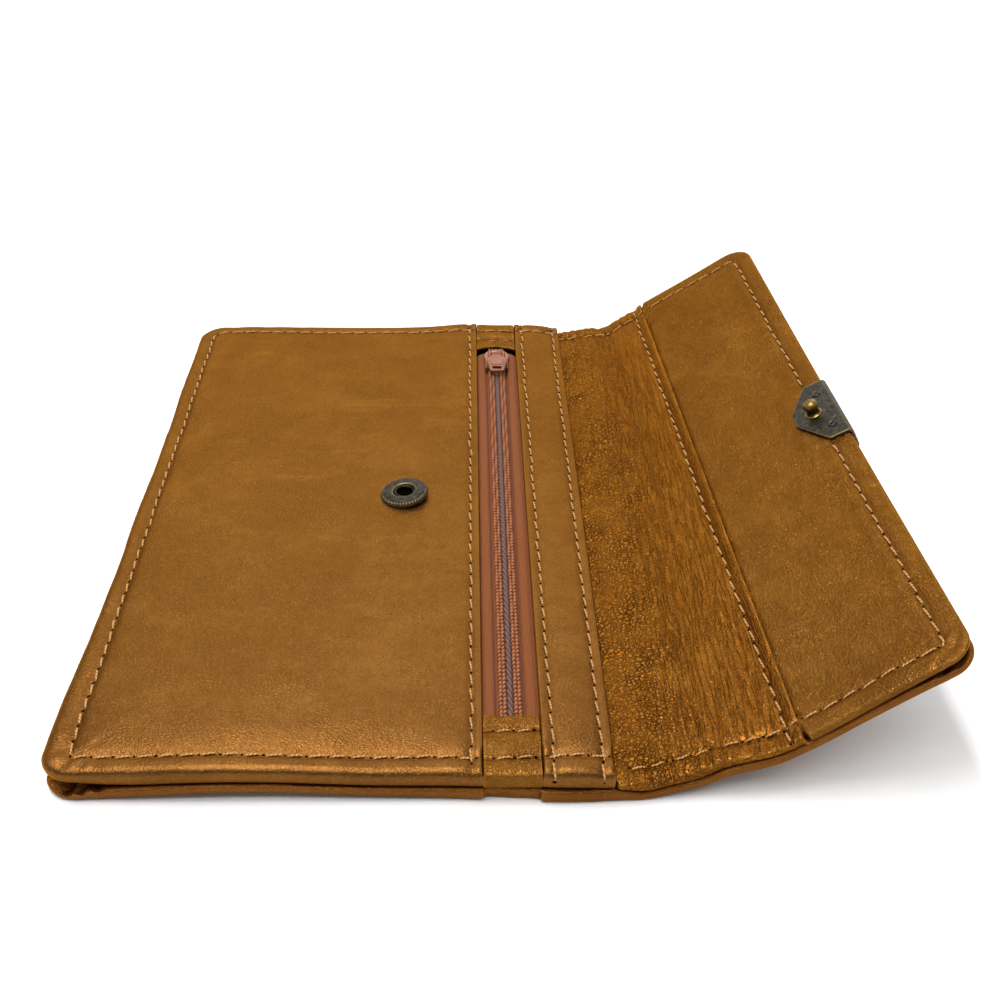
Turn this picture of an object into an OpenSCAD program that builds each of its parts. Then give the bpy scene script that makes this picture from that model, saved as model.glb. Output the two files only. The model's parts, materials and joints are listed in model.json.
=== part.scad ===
// Long wallet with a fold-over flap. The flap lifts on two creases either side of a narrow
// spine, and a ball stud on its end presses into a ring socket on the body.
// Millimetres. The origin is the middle of the body's underside. +X points towards the flap,
// +Y towards the zip's closed end, +Z up. Drawn with the flap part open, as it lies at rest.

/* [Body] */
// Length along the creases
body_l = 190; // [170:1:210]
// Left edge to the first crease, at mid length
body_w = 118.4; // [117.5:0.1:122]
// Height of the body, stitched panels included
body_t = 8.7; // [8.6:0.1:9]
// Radius of the outer corners
corner_r = 8; // [7:0.5:12]
// Thickness of one layer of leather
leather_t = 1.3; // [1.1:0.1:1.4]
// Width of the turned edge
hem_w = 6; // [5:0.5:6]
// Top of the shell's turned edge
shell_rim = 3.3; // [3:0.1:3.3]

/* [Zip] */
// Left edge of the zip window
window_x = 87.1; // [86:0.1:88]
// Width of the zip window
window_w = 12; // [11.8:0.1:12.4]
// Width of the closed coils together
chain_w = 4.9; // [4.8:0.1:5]
// Length of each leather end tab
tab_l = 15.6; // [14:0.1:18]
// Length of the slider
slider_l = 12; // [10:0.5:13]
// Length of the pull, from its pin
pull_l = 11; // [9:0.5:12]

/* [Card slots] */
// Width of the band over the card slot
band_w = 14.5; // [12:0.1:14.6]
// Reach of the flap's pocket beyond the second crease
flap_pocket_w = 19.5; // [17:0.5:24]

/* [Fold and flap] */
// Width of the spine between the two creases
spine_w = 11.4; // [11.3:0.1:12]
// How far each crease is bent at rest, in degrees
rest_bend = 14.4; // [5:0.1:30]
// How far the creases are out of square with the body, in degrees
crease_skew = 1.5; // [0:0.1:1.6]
// Height of the crease lines above the underside
crease_z = 1.5; // [1.4:0.1:1.6]
// Height of the flap at its turned edge
flap_t = 5; // [4.9:0.1:5.1]

/* [Snap and clasp] */
// Left edge to the socket's centre
socket_x = 67.7; // [60:0.1:72]
// Outer diameter of the socket's ring
socket_d = 12.5; // [11:0.1:13]
// Diameter of the socket's mouth
socket_mouth_d = 5.2; // [5:0.1:5.6]
// Height of the ring above the panel
socket_h = 1.8; // [1.8:0.1:1.9]
// Diameter of the stud's ball
stud_d = 3.9; // [3.6:0.1:3.9]
// Length of the clasp plate along the flap's edge
plate_l = 25; // [22:0.5:30]
// Reach of the clasp plate in from the flap's edge
plate_reach = 11.5; // [11:0.5:13]

/* [Stitching] */
// Distance from one stitch to the next
stitch_pitch = 4.3; // [3.6:0.1:6]
// Length of one stitch
stitch_l = 3.3; // [2:0.1:3.4]
// Width of the thread
thread_w = 0.6; // [0.4:0.05:0.8]

/* [Hidden] */
$fn = 48;

crease_gap = 0.25;      // each layer stops this far from a crease
thread_h = 0.3;         // how far a stitch stands above the leather
stitch_in = 3.5;        // body stitch line, in from the edge
flap_stitch_in = 5;     // flap stitch line, in from the edge
edge_stitch_in = 2.3;   // stitch line along a panel's free edge
pocket_stitch_in = 3;   // stitch line along the flap pocket's free edge
rim_bevel = 1.2;        // turned edges stop this far from a crease, so that it can close
fabric_t = 0.3;         // lining cloth
layer_gap = 0.3;        // space between the shell's rim and the panels' rim
rim_low = shell_rim + layer_gap;
panel_low = body_t - 1.5;
window_r = window_x + window_w;
band_r = window_r + band_w;
zip_x = window_x + window_w / 2;
slack = 0.2;            // between neighbouring panels
ply_gap = 0.1;          // between layers glued together
board_t = 1;            // stiffeners
floor_t = 1.1;          // thin leather: the card slot's floor and the zip's end tabs
end_in = 1;             // stitch rows stop this far from the end of their edge

// Pockets inside the body
slot_start = 95;                // left edge of the card slot's floor
slot_floor_end = 2.8;           // it stops this far from the first crease
slot_lining_x = [30, 94.7];
zip_pocket_x = 18;              // left edge of the zip pocket's two cloths
zip_back_end = 94.8;
zip_front_end = 80.2;
zip_back_z = 4.45;
zip_front_z = 6.2;

// Heights in the fold and the flap, measured from the crease lines
low_n = -crease_z;
shell_top_n = low_n + leather_t;
shell_rim_n = 0.85;
upper_low_n = 1.1;
flap_top_n = flap_t - crease_z;
lining_n = [1.6, 2.6];
pocket_n = [2.7, 3.7];
spine_pocket_n = 2.2;
spine_pocket_in = 2.6;
flap_rim_w = 5.5;

// Closed, each crease is bent by this much, and the stud's ball stands over the socket
closed_tilt = 3.4;
closed_bend = (180 - closed_tilt) / 2;
plate_t = 0.7;
plate_n = flap_top_n + 0.05;
under_n = low_n - 0.05 - plate_t;
neck_h = 2.3;
ball_n = plate_n + plate_t + neck_h;
stud_s = (body_w + spine_w * cos(closed_bend) - ball_n * sin(closed_tilt) - socket_x)
         / cos(closed_tilt);
stud_in = 5.8;
flap_s = stud_s + stud_in;
rivet_in = 3;
rivet_y = 7.3;
rivet_d = 1.6;
post_d = 1.8;

// Zip section
tape_z = [5.9, 6.4];
coil_top = 7.9;
coil_w = 2.1;
tape_w = 12;
tape_split = 1.6;
zip_l = body_l - 16;
tab_low = 7.2;
tab_rim_low = 5.45;
tab_stitch_in = 11.6;
slider_back = body_l / 2 - tab_l - 0.4;
pin_z = 9.85;
pin_d = 0.9;
pin_y = slider_back - 4;

// Snap
tube_low = 6.6;
tube_d = 6.4;
panel_hole_d = 6.6;

leather_c = [0.62, 0.41, 0.17];
dark_leather_c = [0.5, 0.32, 0.13];
thread_c = [0.85, 0.68, 0.46];
tape_c = [0.66, 0.38, 0.22];
metal_c = [0.4, 0.36, 0.26];
cloth_c = [0.3, 0.22, 0.16];

// ---- places --------------------------------------------------------------------------------
module on_body() { translate([-body_w / 2, 0, 0]) children(); }
module on_spine() {
    translate([body_w / 2, 0, crease_z]) rotate([0, 0, crease_skew]) rotate([0, -rest_bend, 0])
        children();
}
module on_flap() {
    on_spine() translate([spine_w, 0, 0]) rotate([0, -rest_bend, 0]) rotate([0, 0, crease_skew])
        children();
}

// ---- outlines ------------------------------------------------------------------------------
function crease_x(y) = body_w - y * tan(crease_skew);
function flap_start(y) = y * tan(crease_skew);

// Body outline, its left corners rounded and its right edge along the crease
module body_outline(inset, r, right_in) {
    half = body_l / 2 - inset;
    polygon([[inset + r, -half], [crease_x(-half) - right_in, -half],
             [crease_x(half) - right_in, half], [inset + r, half]]);
    translate([inset, -half + r]) square([2 * r, 2 * (half - r)]);
    for (side = [-1, 1]) translate([inset + r, side * (half - r)]) circle(r);
}

// Flap outline from start to the outer edge, the outer corners rounded
module flap_outline(inset, r, start) {
    half = body_l / 2 - inset;
    far = flap_s - inset;
    polygon([[flap_start(-half) + start, -half], [far - r, -half],
             [far - r, half], [flap_start(half) + start, half]]);
    translate([far - 2 * r, -half + r]) square([2 * r, 2 * (half - r)]);
    for (side = [-1, 1]) translate([far - r, side * (half - r)]) circle(r);
}

module slab(low, high) { translate([0, 0, low]) linear_extrude(high - low) children(); }

// Part of a plan between two places across the wallet
module between(x0, x1) {
    intersection() {
        children();
        translate([x0, -body_l]) square([x1 - x0, 2 * body_l]);
    }
}

module body_rim_plan(right_in) {
    difference() {
        body_outline(0, corner_r, right_in);
        body_outline(hem_w, 2, -hem_w);
    }
}

module flap_rim_plan(start) {
    difference() {
        flap_outline(0, corner_r, start);
        flap_outline(flap_rim_w, 2, -body_l / 4);
    }
}

// ---- stitches ------------------------------------------------------------------------------
// A straight row of stitches along +X from the origin
module stitch_row(length, z) {
    count = floor((length - stitch_l) / stitch_pitch) + 1;
    first = (length - (count - 1) * stitch_pitch - stitch_l) / 2;
    for (i = [0 : count - 1])
        translate([first + i * stitch_pitch, -thread_w / 2, z]) cube([stitch_l, thread_w, thread_h]);
}
module row_x(x0, x1, y, z) { translate([x0, y, 0]) stitch_row(x1 - x0, z); }
module row_y(y0, y1, x, z) { translate([x, y0, 0]) rotate([0, 0, 90]) stitch_row(y1 - y0, z); }

// ---- body ----------------------------------------------------------------------------------
module shell_body() {
    color(leather_c) on_body() {
        slab(0, leather_t) body_outline(0, corner_r, crease_gap);
        slab(0, shell_rim) body_rim_plan(rim_bevel);
    }
}

module body_stiffener() {
    color(cloth_c) on_body()
        slab(leather_t + ply_gap, leather_t + ply_gap + board_t)
            body_outline(hem_w + 0.5, 3, 4);
}

// Leather under the band, the floor of the card slot, which carries on over the creases
module card_slot_floor() {
    color(dark_leather_c) on_body() {
        slab(rim_low, rim_low + floor_t) between(slot_start, body_w * 2)
            body_outline(slack, corner_r, slot_floor_end);
        slab(rim_low, rim_low + 2.4) between(band_r + 0.3, body_w * 2)
            body_rim_plan(slot_floor_end);
    }
}

module card_slot_lining() {
    color(cloth_c) on_body()
        translate([slot_lining_x[0], -body_l / 2 + hem_w + 1, rim_low + 0.3])
            cube([slot_lining_x[1] - slot_lining_x[0], body_l - 2 * hem_w - 2, fabric_t]);
}

module zip_pocket_sheet(z, right) {
    on_body() translate([zip_pocket_x, -body_l / 2 + hem_w + 1, z])
        cube([right - zip_pocket_x, body_l - 2 * hem_w - 2, fabric_t]);
}
module zip_pocket_back() { color(cloth_c) zip_pocket_sheet(zip_back_z, zip_back_end); }
module zip_pocket_front() { color(cloth_c) zip_pocket_sheet(zip_front_z, zip_front_end); }

module left_panel() {
    color(leather_c) on_body() difference() {
        union() {
            slab(panel_low, body_t) between(0, window_x) body_outline(0, corner_r, 0);
            slab(rim_low, body_t) between(0, window_x) body_rim_plan(0);
        }
        translate([socket_x, 0, panel_low - 1]) cylinder(d = panel_hole_d, h = 4);
    }
}

module slot_band() {
    rim_base = rim_low + 2.5;
    color(leather_c) on_body() {
        translate([window_r, -body_l / 2, panel_low]) cube([band_w, body_l, body_t - panel_low]);
        for (side = [-1, 1])
            translate([window_r, side * (body_l / 2 - hem_w / 2) - hem_w / 2, rim_base])
                cube([band_w, hem_w, body_t - rim_base]);
    }
}

// Leather tab across an end of the zip, side -1 at the front and +1 at the rear
module zip_tab(side) {
    color(leather_c) on_body() {
        translate([window_x + slack, side < 0 ? -body_l / 2 : body_l / 2 - tab_l, tab_low])
            cube([window_w - 2 * slack, tab_l, floor_t]);
        translate([window_x + slack, side * (body_l / 2 - hem_w / 2) - hem_w / 2, tab_rim_low])
            cube([window_w - 2 * slack, hem_w, tab_low - tab_rim_low + floor_t]);
    }
}
module zip_tab_front() { zip_tab(-1); }
module zip_tab_rear() { zip_tab(1); }

module zip_tape(side) {
    inner = zip_x + side * tape_split / 2;
    color(tape_c) on_body()
        translate([side < 0 ? inner - tape_w : inner, -zip_l / 2, tape_z[0]])
            cube([tape_w, zip_l, tape_z[1] - tape_z[0]]);
}
module zip_tape_left() { zip_tape(-1); }
module zip_tape_right() { zip_tape(1); }

// One coil: a low bar with a round top, lying on its tape and ending short of the tabs' hems
module zip_coil(side) {
    coil_h = coil_top - tape_z[1];
    coil_l = body_l - 2 * tab_l - 1.6;
    round_r = 1.25;
    color(tape_c) on_body()
        translate([zip_x + side * (chain_w - coil_w) / 2, coil_l / 2, tape_z[1]])
            rotate([90, 0, 0]) linear_extrude(coil_l) intersection() {
                translate([-coil_w / 2, 0]) square([coil_w, coil_h]);
                translate([0, coil_h - round_r]) circle(round_r);
            }
}
module zip_coil_left() { zip_coil(-1); }
module zip_coil_right() { zip_coil(1); }

// Stops pressed flat under the tapes, that far in from their ends, under the leather tabs
stop_in = 6;
stop_l = 2.5;
stop_t = 0.6;

// Staple across both tapes at the front
module zip_bottom_stop() {
    color(metal_c) on_body()
        translate([zip_x - chain_w / 2, -zip_l / 2 + stop_in, tape_z[0] - stop_t])
            cube([chain_w, stop_l, stop_t]);
}

module zip_top_stops() {
    wide = 1.6;
    color(metal_c) on_body() for (side = [-1, 1])
        translate([zip_x + side * 1.7 - wide / 2, zip_l / 2 - stop_in, tape_z[0] - stop_t])
            cube([wide, stop_l, stop_t]);
}

// Ring of the snap: a domed flange round the mouth, a groove for the spring, and a tube that
// passes through the panel
module snap_socket() {
    r = socket_d / 2;
    mouth = socket_mouth_d / 2;
    edge_h = 0.7;
    color(metal_c) on_body() translate([socket_x, 0, body_t]) difference() {
        union() {
            rotate_extrude() polygon([[0, 0], [r, 0], [r, edge_h], [r - 0.6, edge_h + 0.6],
                                      [r - 1.6, socket_h - 0.2], [r - 2.4, socket_h],
                                      [0, socket_h]]);
            translate([0, 0, tube_low - body_t]) cylinder(d = tube_d, h = body_t - tube_low);
        }
        translate([0, 0, -4]) cylinder(r = mouth, h = 8);
        translate([0, 0, 0.6]) cylinder(d = 5.8, h = 0.8);
    }
}

module snap_spring() {
    color("silver") on_body() translate([socket_x, 0, body_t + 1])
        rotate_extrude() translate([2.42, 0]) circle(0.3);
}

module snap_backing() {
    color(metal_c) on_body() translate([socket_x, 0, tube_low]) difference() {
        cylinder(d = 10, h = 0.5);
        translate([0, 0, -1]) cylinder(d = tube_d + 0.1, h = 3);
    }
}

module body_perimeter_thread() {
    y = body_l / 2 - stitch_in;
    color(thread_c) on_body() {
        row_y(-y + end_in, y - end_in, stitch_in, body_t);
        for (side = [-1, 1]) row_x(stitch_in + end_in, window_x - 4, side * y, body_t);
    }
}

module panel_edge_thread() {
    color(thread_c) on_body()
        row_y(end_in - body_l / 2, body_l / 2 - end_in, window_x - edge_stitch_in, body_t);
}

module band_threads() {
    color(thread_c) on_body() for (x = [window_r + edge_stitch_in, band_r - edge_stitch_in])
        row_y(end_in - body_l / 2, body_l / 2 - end_in, x, body_t);
}

module tab_threads() {
    color(thread_c) on_body() for (side = [-1, 1])
        row_x(window_x + slack, window_r - slack, side * (body_l / 2 - tab_stitch_in),
              tab_low + floor_t);
}

// ---- zip slider ----------------------------------------------------------------------------
// Two plates either side of the tapes, joined by a thin post that runs between the coils, with
// flanges down over the coils and two lugs that hold the pull's pin
module zip_slider() {
    wide = 8;
    channel = chain_w + 0.5;
    top = [coil_top + 0.2, coil_top + 0.9];
    base_z = tape_z[0] - 0.95;
    post_w = 0.5;
    lug = [1, 1.8];
    lug_x = 2.1;
    color([0.62, 0.36, 0.26]) on_body() {
        translate([zip_x, slider_back - slider_l / 2, 0]) {
            slab(top[0], top[1]) intersection() {
                square([wide, slider_l], center = true);
                translate([0, -2]) circle(8);
            }
            for (side = [-1, 1])
                translate([side * (channel + wide) / 4 - (wide - channel) / 4, -slider_l / 2 + 1,
                           tape_z[1] + 0.2])
                    cube([(wide - channel) / 2, slider_l - 4, top[0] - tape_z[1] - 0.2]);
            translate([-wide / 2, -slider_l / 2 + 1, base_z]) cube([wide, slider_l - 3, 0.75]);
            translate([-post_w / 2, 0, base_z]) cube([post_w, 3, top[0] - base_z]);
        }
        for (side = [-1, 1])
            translate([zip_x + side * lug_x - lug[0] / 2, pin_y - lug[1] / 2, top[0]]) {
                cube([lug[0], lug[1], pin_z - top[0]]);
                translate([0, lug[1] / 2, pin_z - top[0]])
                    rotate([0, 90, 0]) cylinder(d = lug[1] - 0.1, h = lug[0]);
            }
        translate([zip_x - lug_x, pin_y, pin_z])
            rotate([0, 90, 0]) cylinder(d = pin_d, h = 2 * lug_x);
    }
}

// Pull: an eye round the pin and a tapering plate with a rectangular window near its end
module pull_tab() {
    eye_w = 3;
    pull_t = 1;
    droop = 3;
    shoulder = 2.9;
    tip = 2.1;
    opening = [2.6, 1.8];
    color([0.66, 0.4, 0.29]) on_body() translate([zip_x, pin_y, pin_z]) rotate([droop, 0, 0])
        difference() {
            union() {
                rotate([0, 90, 0]) translate([0, 0, -eye_w / 2]) cylinder(d = 2, h = eye_w);
                slab(-pull_t / 2, pull_t / 2)
                    polygon([[-eye_w / 2, 0], [-eye_w / 2, -2], [-shoulder, -3.2],
                             [-shoulder, -4.5], [-tip, -pull_l], [tip, -pull_l],
                             [shoulder, -4.5], [shoulder, -3.2], [eye_w / 2, -2],
                             [eye_w / 2, 0]]);
            }
            rotate([0, 90, 0]) translate([0, 0, -4]) cylinder(d = pin_d + 0.12, h = 8);
            translate([-opening[0] / 2, 1.3 - pull_l, -2]) cube([opening[0], opening[1], 4]);
        }
}

// ---- spine ---------------------------------------------------------------------------------
module spine_plan(inset) {
    translate([inset, -body_l / 2]) square([spine_w - 2 * inset, body_l]);
}

module shell_spine() {
    color(leather_c) on_spine() {
        slab(low_n, shell_top_n) spine_plan(crease_gap);
        slab(low_n, shell_rim_n) difference() {
            spine_plan(rim_bevel);
            translate([0, -body_l / 2 + hem_w]) square([spine_w, body_l - 2 * hem_w]);
        }
    }
}

module pocket_spine() {
    color(dark_leather_c) on_spine()
        slab(upper_low_n, spine_pocket_n) spine_plan(spine_pocket_in);
}

module spine_threads() {
    color(thread_c) on_spine() for (side = [-1, 1])
        row_x(spine_pocket_in, spine_w - spine_pocket_in, side * (body_l / 2 - flap_stitch_in),
              spine_pocket_n);
}

// ---- flap ----------------------------------------------------------------------------------
// Holes through the flap for the rivets and the stud's post
module clasp_holes() {
    for (side = [-1, 1]) translate([flap_s - rivet_in, side * rivet_y, -6])
        cylinder(d = rivet_d + 0.1, h = 20);
    translate([stud_s, 0, -6]) cylinder(d = post_d + 0.1, h = 20);
}

module shell_flap() {
    color(leather_c) on_flap() difference() {
        union() {
            slab(low_n, shell_top_n) flap_outline(0, corner_r, crease_gap);
            slab(low_n, shell_rim_n) flap_rim_plan(rim_bevel);
        }
        clasp_holes();
    }
}

module flap_stiffener() {
    color(cloth_c) on_flap() difference() {
        slab(shell_top_n + ply_gap, shell_rim_n) flap_outline(flap_rim_w + 1, 2, 8);
        clasp_holes();
    }
}

module flap_lining() {
    pad_l = plate_l + 3;
    lining_start = 3.2;
    side_in = 5.8;
    color(leather_c) on_flap() difference() {
        union() {
            slab(lining_n[0], lining_n[1]) {
                flap_outline(side_in, 2, lining_start);
                between(flap_pocket_w + 2.6, flap_s) flap_outline(0, corner_r, 0);
            }
            slab(upper_low_n, flap_top_n) between(flap_pocket_w + 3, flap_s + 1) flap_rim_plan(0);
            translate([flap_s - plate_reach - 1, -pad_l / 2, lining_n[0]])
                cube([plate_reach - 1, pad_l, flap_top_n - lining_n[0]]);
        }
        clasp_holes();
    }
}

// The pocket's free edge is square with the flap, its start follows the crease
module flap_pocket() {
    pocket_start = 2.8;
    color(dark_leather_c) on_flap() {
        slab(pocket_n[0], pocket_n[1])
            between(-body_l, flap_pocket_w) flap_outline(0, corner_r, pocket_start);
        slab(upper_low_n, pocket_n[1]) between(-body_l, flap_pocket_w) difference() {
            flap_outline(0, corner_r, pocket_start);
            translate([-body_l / 2, -body_l / 2 + flap_rim_w])
                square([body_l, body_l - 2 * flap_rim_w]);
        }
    }
}

// Plate outline: straight along the flap's edge, tapering inwards
module plate_plan(reach, tip) {
    side_deep = 5.5;
    polygon([[flap_s + ply_gap, -plate_l / 2], [flap_s + ply_gap, plate_l / 2],
             [flap_s - side_deep, plate_l / 2], [flap_s - reach, tip / 2],
             [flap_s - reach, -tip / 2], [flap_s - side_deep, -plate_l / 2]]);
}

module clasp_plate() {
    tip = 5;
    color(metal_c) on_flap() difference() {
        union() {
            slab(plate_n, plate_n + plate_t) plate_plan(plate_reach, tip);
            slab(under_n, under_n + plate_t) plate_plan(plate_reach, tip);
            translate([flap_s + ply_gap, -plate_l / 2, under_n])
                cube([plate_t, plate_l, plate_n + plate_t - under_n]);
        }
        clasp_holes();
    }
}

// Stud: base disc, neck and ball, on a post that passes through the flap
module clasp_stud() {
    top = plate_n + plate_t;
    base_t = 0.4;
    post_low = low_n - 0.6;
    color(metal_c) on_flap() translate([stud_s, 0, 0]) {
        translate([0, 0, top]) cylinder(d = 5.2, h = base_t);
        translate([0, 0, top]) cylinder(d = 2.9, h = neck_h);
        intersection() {
            translate([0, 0, ball_n]) sphere(d = stud_d);
            translate([0, 0, top + base_t]) cylinder(d = 6, h = 3.6);
        }
        translate([0, 0, post_low]) cylinder(d = post_d, h = top - post_low);
    }
}

module stud_back_cap() {
    cap_t = 0.4;
    color(metal_c) on_flap() translate([stud_s, 0, under_n - cap_t]) cylinder(d = 5, h = cap_t);
}

module clasp_rivets() {
    top = plate_n + plate_t;
    tail_t = 0.25;
    head_t = 0.35;
    color(metal_c) on_flap() for (side = [-1, 1])
        translate([flap_s - rivet_in, side * rivet_y, 0]) {
            translate([0, 0, under_n]) cylinder(d = rivet_d, h = top - under_n);
            translate([0, 0, under_n - tail_t]) cylinder(d = 2.2, h = tail_t);
            difference() {
                translate([0, 0, top]) cylinder(d = 2.3, h = head_t);
                translate([0, 0, top + 0.15]) cylinder(d = 1.2, h = 1);
            }
        }
}

module flap_perimeter_thread() {
    y = body_l / 2 - flap_stitch_in;
    x = flap_s - flap_stitch_in;
    plate_half = plate_l / 2 + 1;
    color(thread_c) on_flap() {
        row_y(plate_half, y - end_in, x, flap_top_n);
        row_y(-y + end_in, -plate_half, x, flap_top_n);
        for (side = [-1, 1]) row_x(flap_pocket_w + 3.5, x - end_in, side * y, flap_top_n);
    }
}

module flap_pocket_thread() {
    y = body_l / 2 - flap_stitch_in;
    color(thread_c) on_flap() {
        row_y(end_in - body_l / 2, body_l / 2 - end_in, flap_pocket_w - pocket_stitch_in,
              pocket_n[1]);
        for (side = [-1, 1]) row_x(6, flap_pocket_w - 4, side * y, pocket_n[1]);
    }
}

shell_body();
body_stiffener();
card_slot_floor();
card_slot_lining();
zip_pocket_back();
zip_pocket_front();
left_panel();
slot_band();
zip_tab_front();
zip_tab_rear();
zip_tape_left();
zip_tape_right();
zip_coil_left();
zip_coil_right();
zip_bottom_stop();
zip_top_stops();
snap_socket();
snap_spring();
snap_backing();
body_perimeter_thread();
panel_edge_thread();
band_threads();
tab_threads();
zip_slider();
pull_tab();
shell_spine();
pocket_spine();
spine_threads();
shell_flap();
flap_stiffener();
flap_lining();
flap_pocket();
clasp_plate();
clasp_stud();
stud_back_cap();
clasp_rivets();
flap_perimeter_thread();
flap_pocket_thread();
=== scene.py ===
"""Looks of a long leather wallet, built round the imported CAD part.

Lengths are in millimetres until a mesh is written. Leather is shaped flat, as if the wallet lay fully open,
and then folded at the two creases to the CAD's rest pose. X runs across the wallet, Y along it and Z up. The
flap has its own flat coordinates: s away from the second crease, t along it and n up from it.
"""
import json
import math

import bmesh
import bpy
import numpy as np
from mathutils import Matrix, Vector


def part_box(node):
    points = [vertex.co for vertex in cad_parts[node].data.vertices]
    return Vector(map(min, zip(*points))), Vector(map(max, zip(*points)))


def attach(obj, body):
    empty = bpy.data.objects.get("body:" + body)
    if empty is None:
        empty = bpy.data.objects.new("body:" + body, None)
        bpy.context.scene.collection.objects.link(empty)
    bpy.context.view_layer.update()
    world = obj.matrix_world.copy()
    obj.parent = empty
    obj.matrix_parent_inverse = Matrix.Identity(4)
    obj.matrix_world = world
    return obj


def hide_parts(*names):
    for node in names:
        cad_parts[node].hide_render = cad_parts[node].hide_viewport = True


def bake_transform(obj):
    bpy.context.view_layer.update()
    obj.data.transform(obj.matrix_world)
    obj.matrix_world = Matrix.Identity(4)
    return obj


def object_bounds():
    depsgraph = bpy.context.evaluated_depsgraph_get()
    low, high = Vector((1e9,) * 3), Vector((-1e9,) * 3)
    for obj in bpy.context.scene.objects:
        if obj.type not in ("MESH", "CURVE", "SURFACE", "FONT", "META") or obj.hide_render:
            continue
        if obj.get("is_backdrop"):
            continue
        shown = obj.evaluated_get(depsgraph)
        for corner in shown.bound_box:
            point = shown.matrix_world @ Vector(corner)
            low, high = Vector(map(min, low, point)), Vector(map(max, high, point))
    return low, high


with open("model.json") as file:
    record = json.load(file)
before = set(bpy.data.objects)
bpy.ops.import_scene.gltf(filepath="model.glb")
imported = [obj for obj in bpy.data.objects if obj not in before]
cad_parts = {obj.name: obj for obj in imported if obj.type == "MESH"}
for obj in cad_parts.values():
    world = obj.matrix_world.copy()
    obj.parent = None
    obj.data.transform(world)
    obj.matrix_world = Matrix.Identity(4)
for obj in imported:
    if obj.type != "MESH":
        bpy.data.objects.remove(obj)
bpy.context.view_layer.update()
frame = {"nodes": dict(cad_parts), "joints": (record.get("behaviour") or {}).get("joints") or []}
MM = 0.001


# ---- places taken from the frame -----------------------------------------------------------
def box(node):
    """Lowest and highest corner of a CAD node, in millimetres."""
    low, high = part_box(node)
    return np.array(low) / MM, np.array(high) / MM


def node_points(node):
    """Vertices of a CAD node, in millimetres."""
    mesh = frame["nodes"][node].data
    points = np.empty(len(mesh.vertices) * 3)
    mesh.vertices.foreach_get("co", points)
    return points.reshape(-1, 3) / MM


joints = {joint["name"]: joint for joint in frame["joints"]}
crease_a = np.array(joints["fold_lower"]["pos_m"]) / MM
crease_b = np.array(joints["fold_upper"]["pos_m"]) / MM
pull_pin = np.array(joints["pull_flip"]["pos_m"]) / MM
crease_axis = joints["fold_lower"]["axis"]
SKEW = math.atan2(crease_axis[0], -crease_axis[1])
SKEW_COS, SKEW_SIN, SKEW_TAN = math.cos(SKEW), math.sin(SKEW), math.tan(SKEW)
SPINE = float(np.linalg.norm(crease_b - crease_a))
REST_BEND = math.asin((crease_b - crease_a)[2] / SPINE)
CREASE_Z = crease_a[2]
BEND_HALF = 0.47 * SPINE        # the leather bends over this far each side of a crease

panel_low, panel_high = box("left_panel")
band_low, band_high = box("slot_band")
LEFT, FRONT, REAR = panel_low[0], panel_low[1], panel_high[1]
HALF = (REAR - FRONT) / 2
PANEL_RIGHT, PANEL_TOP = panel_high[0], panel_high[2]
BAND_LEFT, BAND_RIGHT = band_low[0], band_high[0]
RIM_LOW = panel_low[2]
ZIP_X = (PANEL_RIGHT + BAND_LEFT) / 2
TAB_END = box("zip_tab_front")[1][1]
SHELL_RIM = box("shell_body")[1][2]
socket_low, socket_high = box("snap_socket")
SNAP = (socket_low + socket_high) / 2
SNAP_RADIUS = (socket_high[0] - socket_low[0]) / 2

BODY_CORNERS = (5, 8)           # radii of the body's front and rear left corners
FLAP_CORNERS = (6, 8)           # radii of the flap's front and rear corners
FLARE = (0.3, 1.4)              # the left edge spreads this far, and this much more at the front
FRONT_FLARE = (0.7, 0.8)        # the front edge spreads this far, and this much more by the band
REAR_FLARE = 1.8                # the rear edge spreads this far by the zip
STITCH_IN = 4.0                 # body's stitch line, in from the edge
FLAP_STITCH_IN = 5.0            # flap's stitch line, in from the edge
EDGE_STITCH_IN = 2.3            # stitch line along a panel's free edge
POCKET_STITCH_IN = 3.0          # stitch line along the flap pocket's free edge
TAB_STITCH_IN = (11.6, 9.6)     # second stitch line of the zip's front and rear tabs, in from their ends
PLATE_T = 0.7                   # thickness of the clasp's sheet metal
HEM = 6                         # width of the turned edges
PANEL_T, BAND_T, TAB_T, SOFT_T, LINING_T = 1.5, 1.6, 1.75, 1.1, 1.0     # thickness of each leather
SHELL_INSIDE, FLAP_INSIDE = 1.3, -0.2   # top of the shell inside its turned edges, on body and flap
FLAP_RIM, FOLD_RIM = 0.85, 2.35         # top of its turned edges, on the flap and in the fold
PINCH_RISE = 1.2                # how far the layers are pressed up where the front edge is pinched
PITCH, STITCH = 4.3, 3.5        # from stitch to stitch, and one stitch's length
THREAD_WIDE, THREAD_TALL = 0.46, 0.38
THREAD_SLANT, THREAD_SINK = 0.12, 0.45
HOLE_SIZE = 0.42                # a needle hole's half width
ROLL_TALL, ROLL_MID, ROLL_THIN = 1.5, 1.0, 0.6


# ---- shape helpers -------------------------------------------------------------------------
def smooth(value):
    """0 below 0, 1 above 1 and a soft step in between."""
    value = np.clip(value, 0, 1)
    return value * value * (3 - 2 * value)


def bump(distance, width):
    """1 at distance 0, falling softly to 0."""
    return np.exp(-((distance / width) ** 2))


def waves(x, y, period, seed):
    """Soft unevenness between about -1 and 1."""
    draw = np.random.default_rng(seed)
    total = 0
    for _ in range(6):
        turn, shift, size = draw.uniform(0, math.tau), draw.uniform(0, math.tau), draw.uniform(0.7, 1.5)
        along = (x * math.cos(turn) + y * math.sin(turn)) / (period * size)
        total = total + np.sin(math.tau * along + shift)
    return total / 3.5


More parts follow.
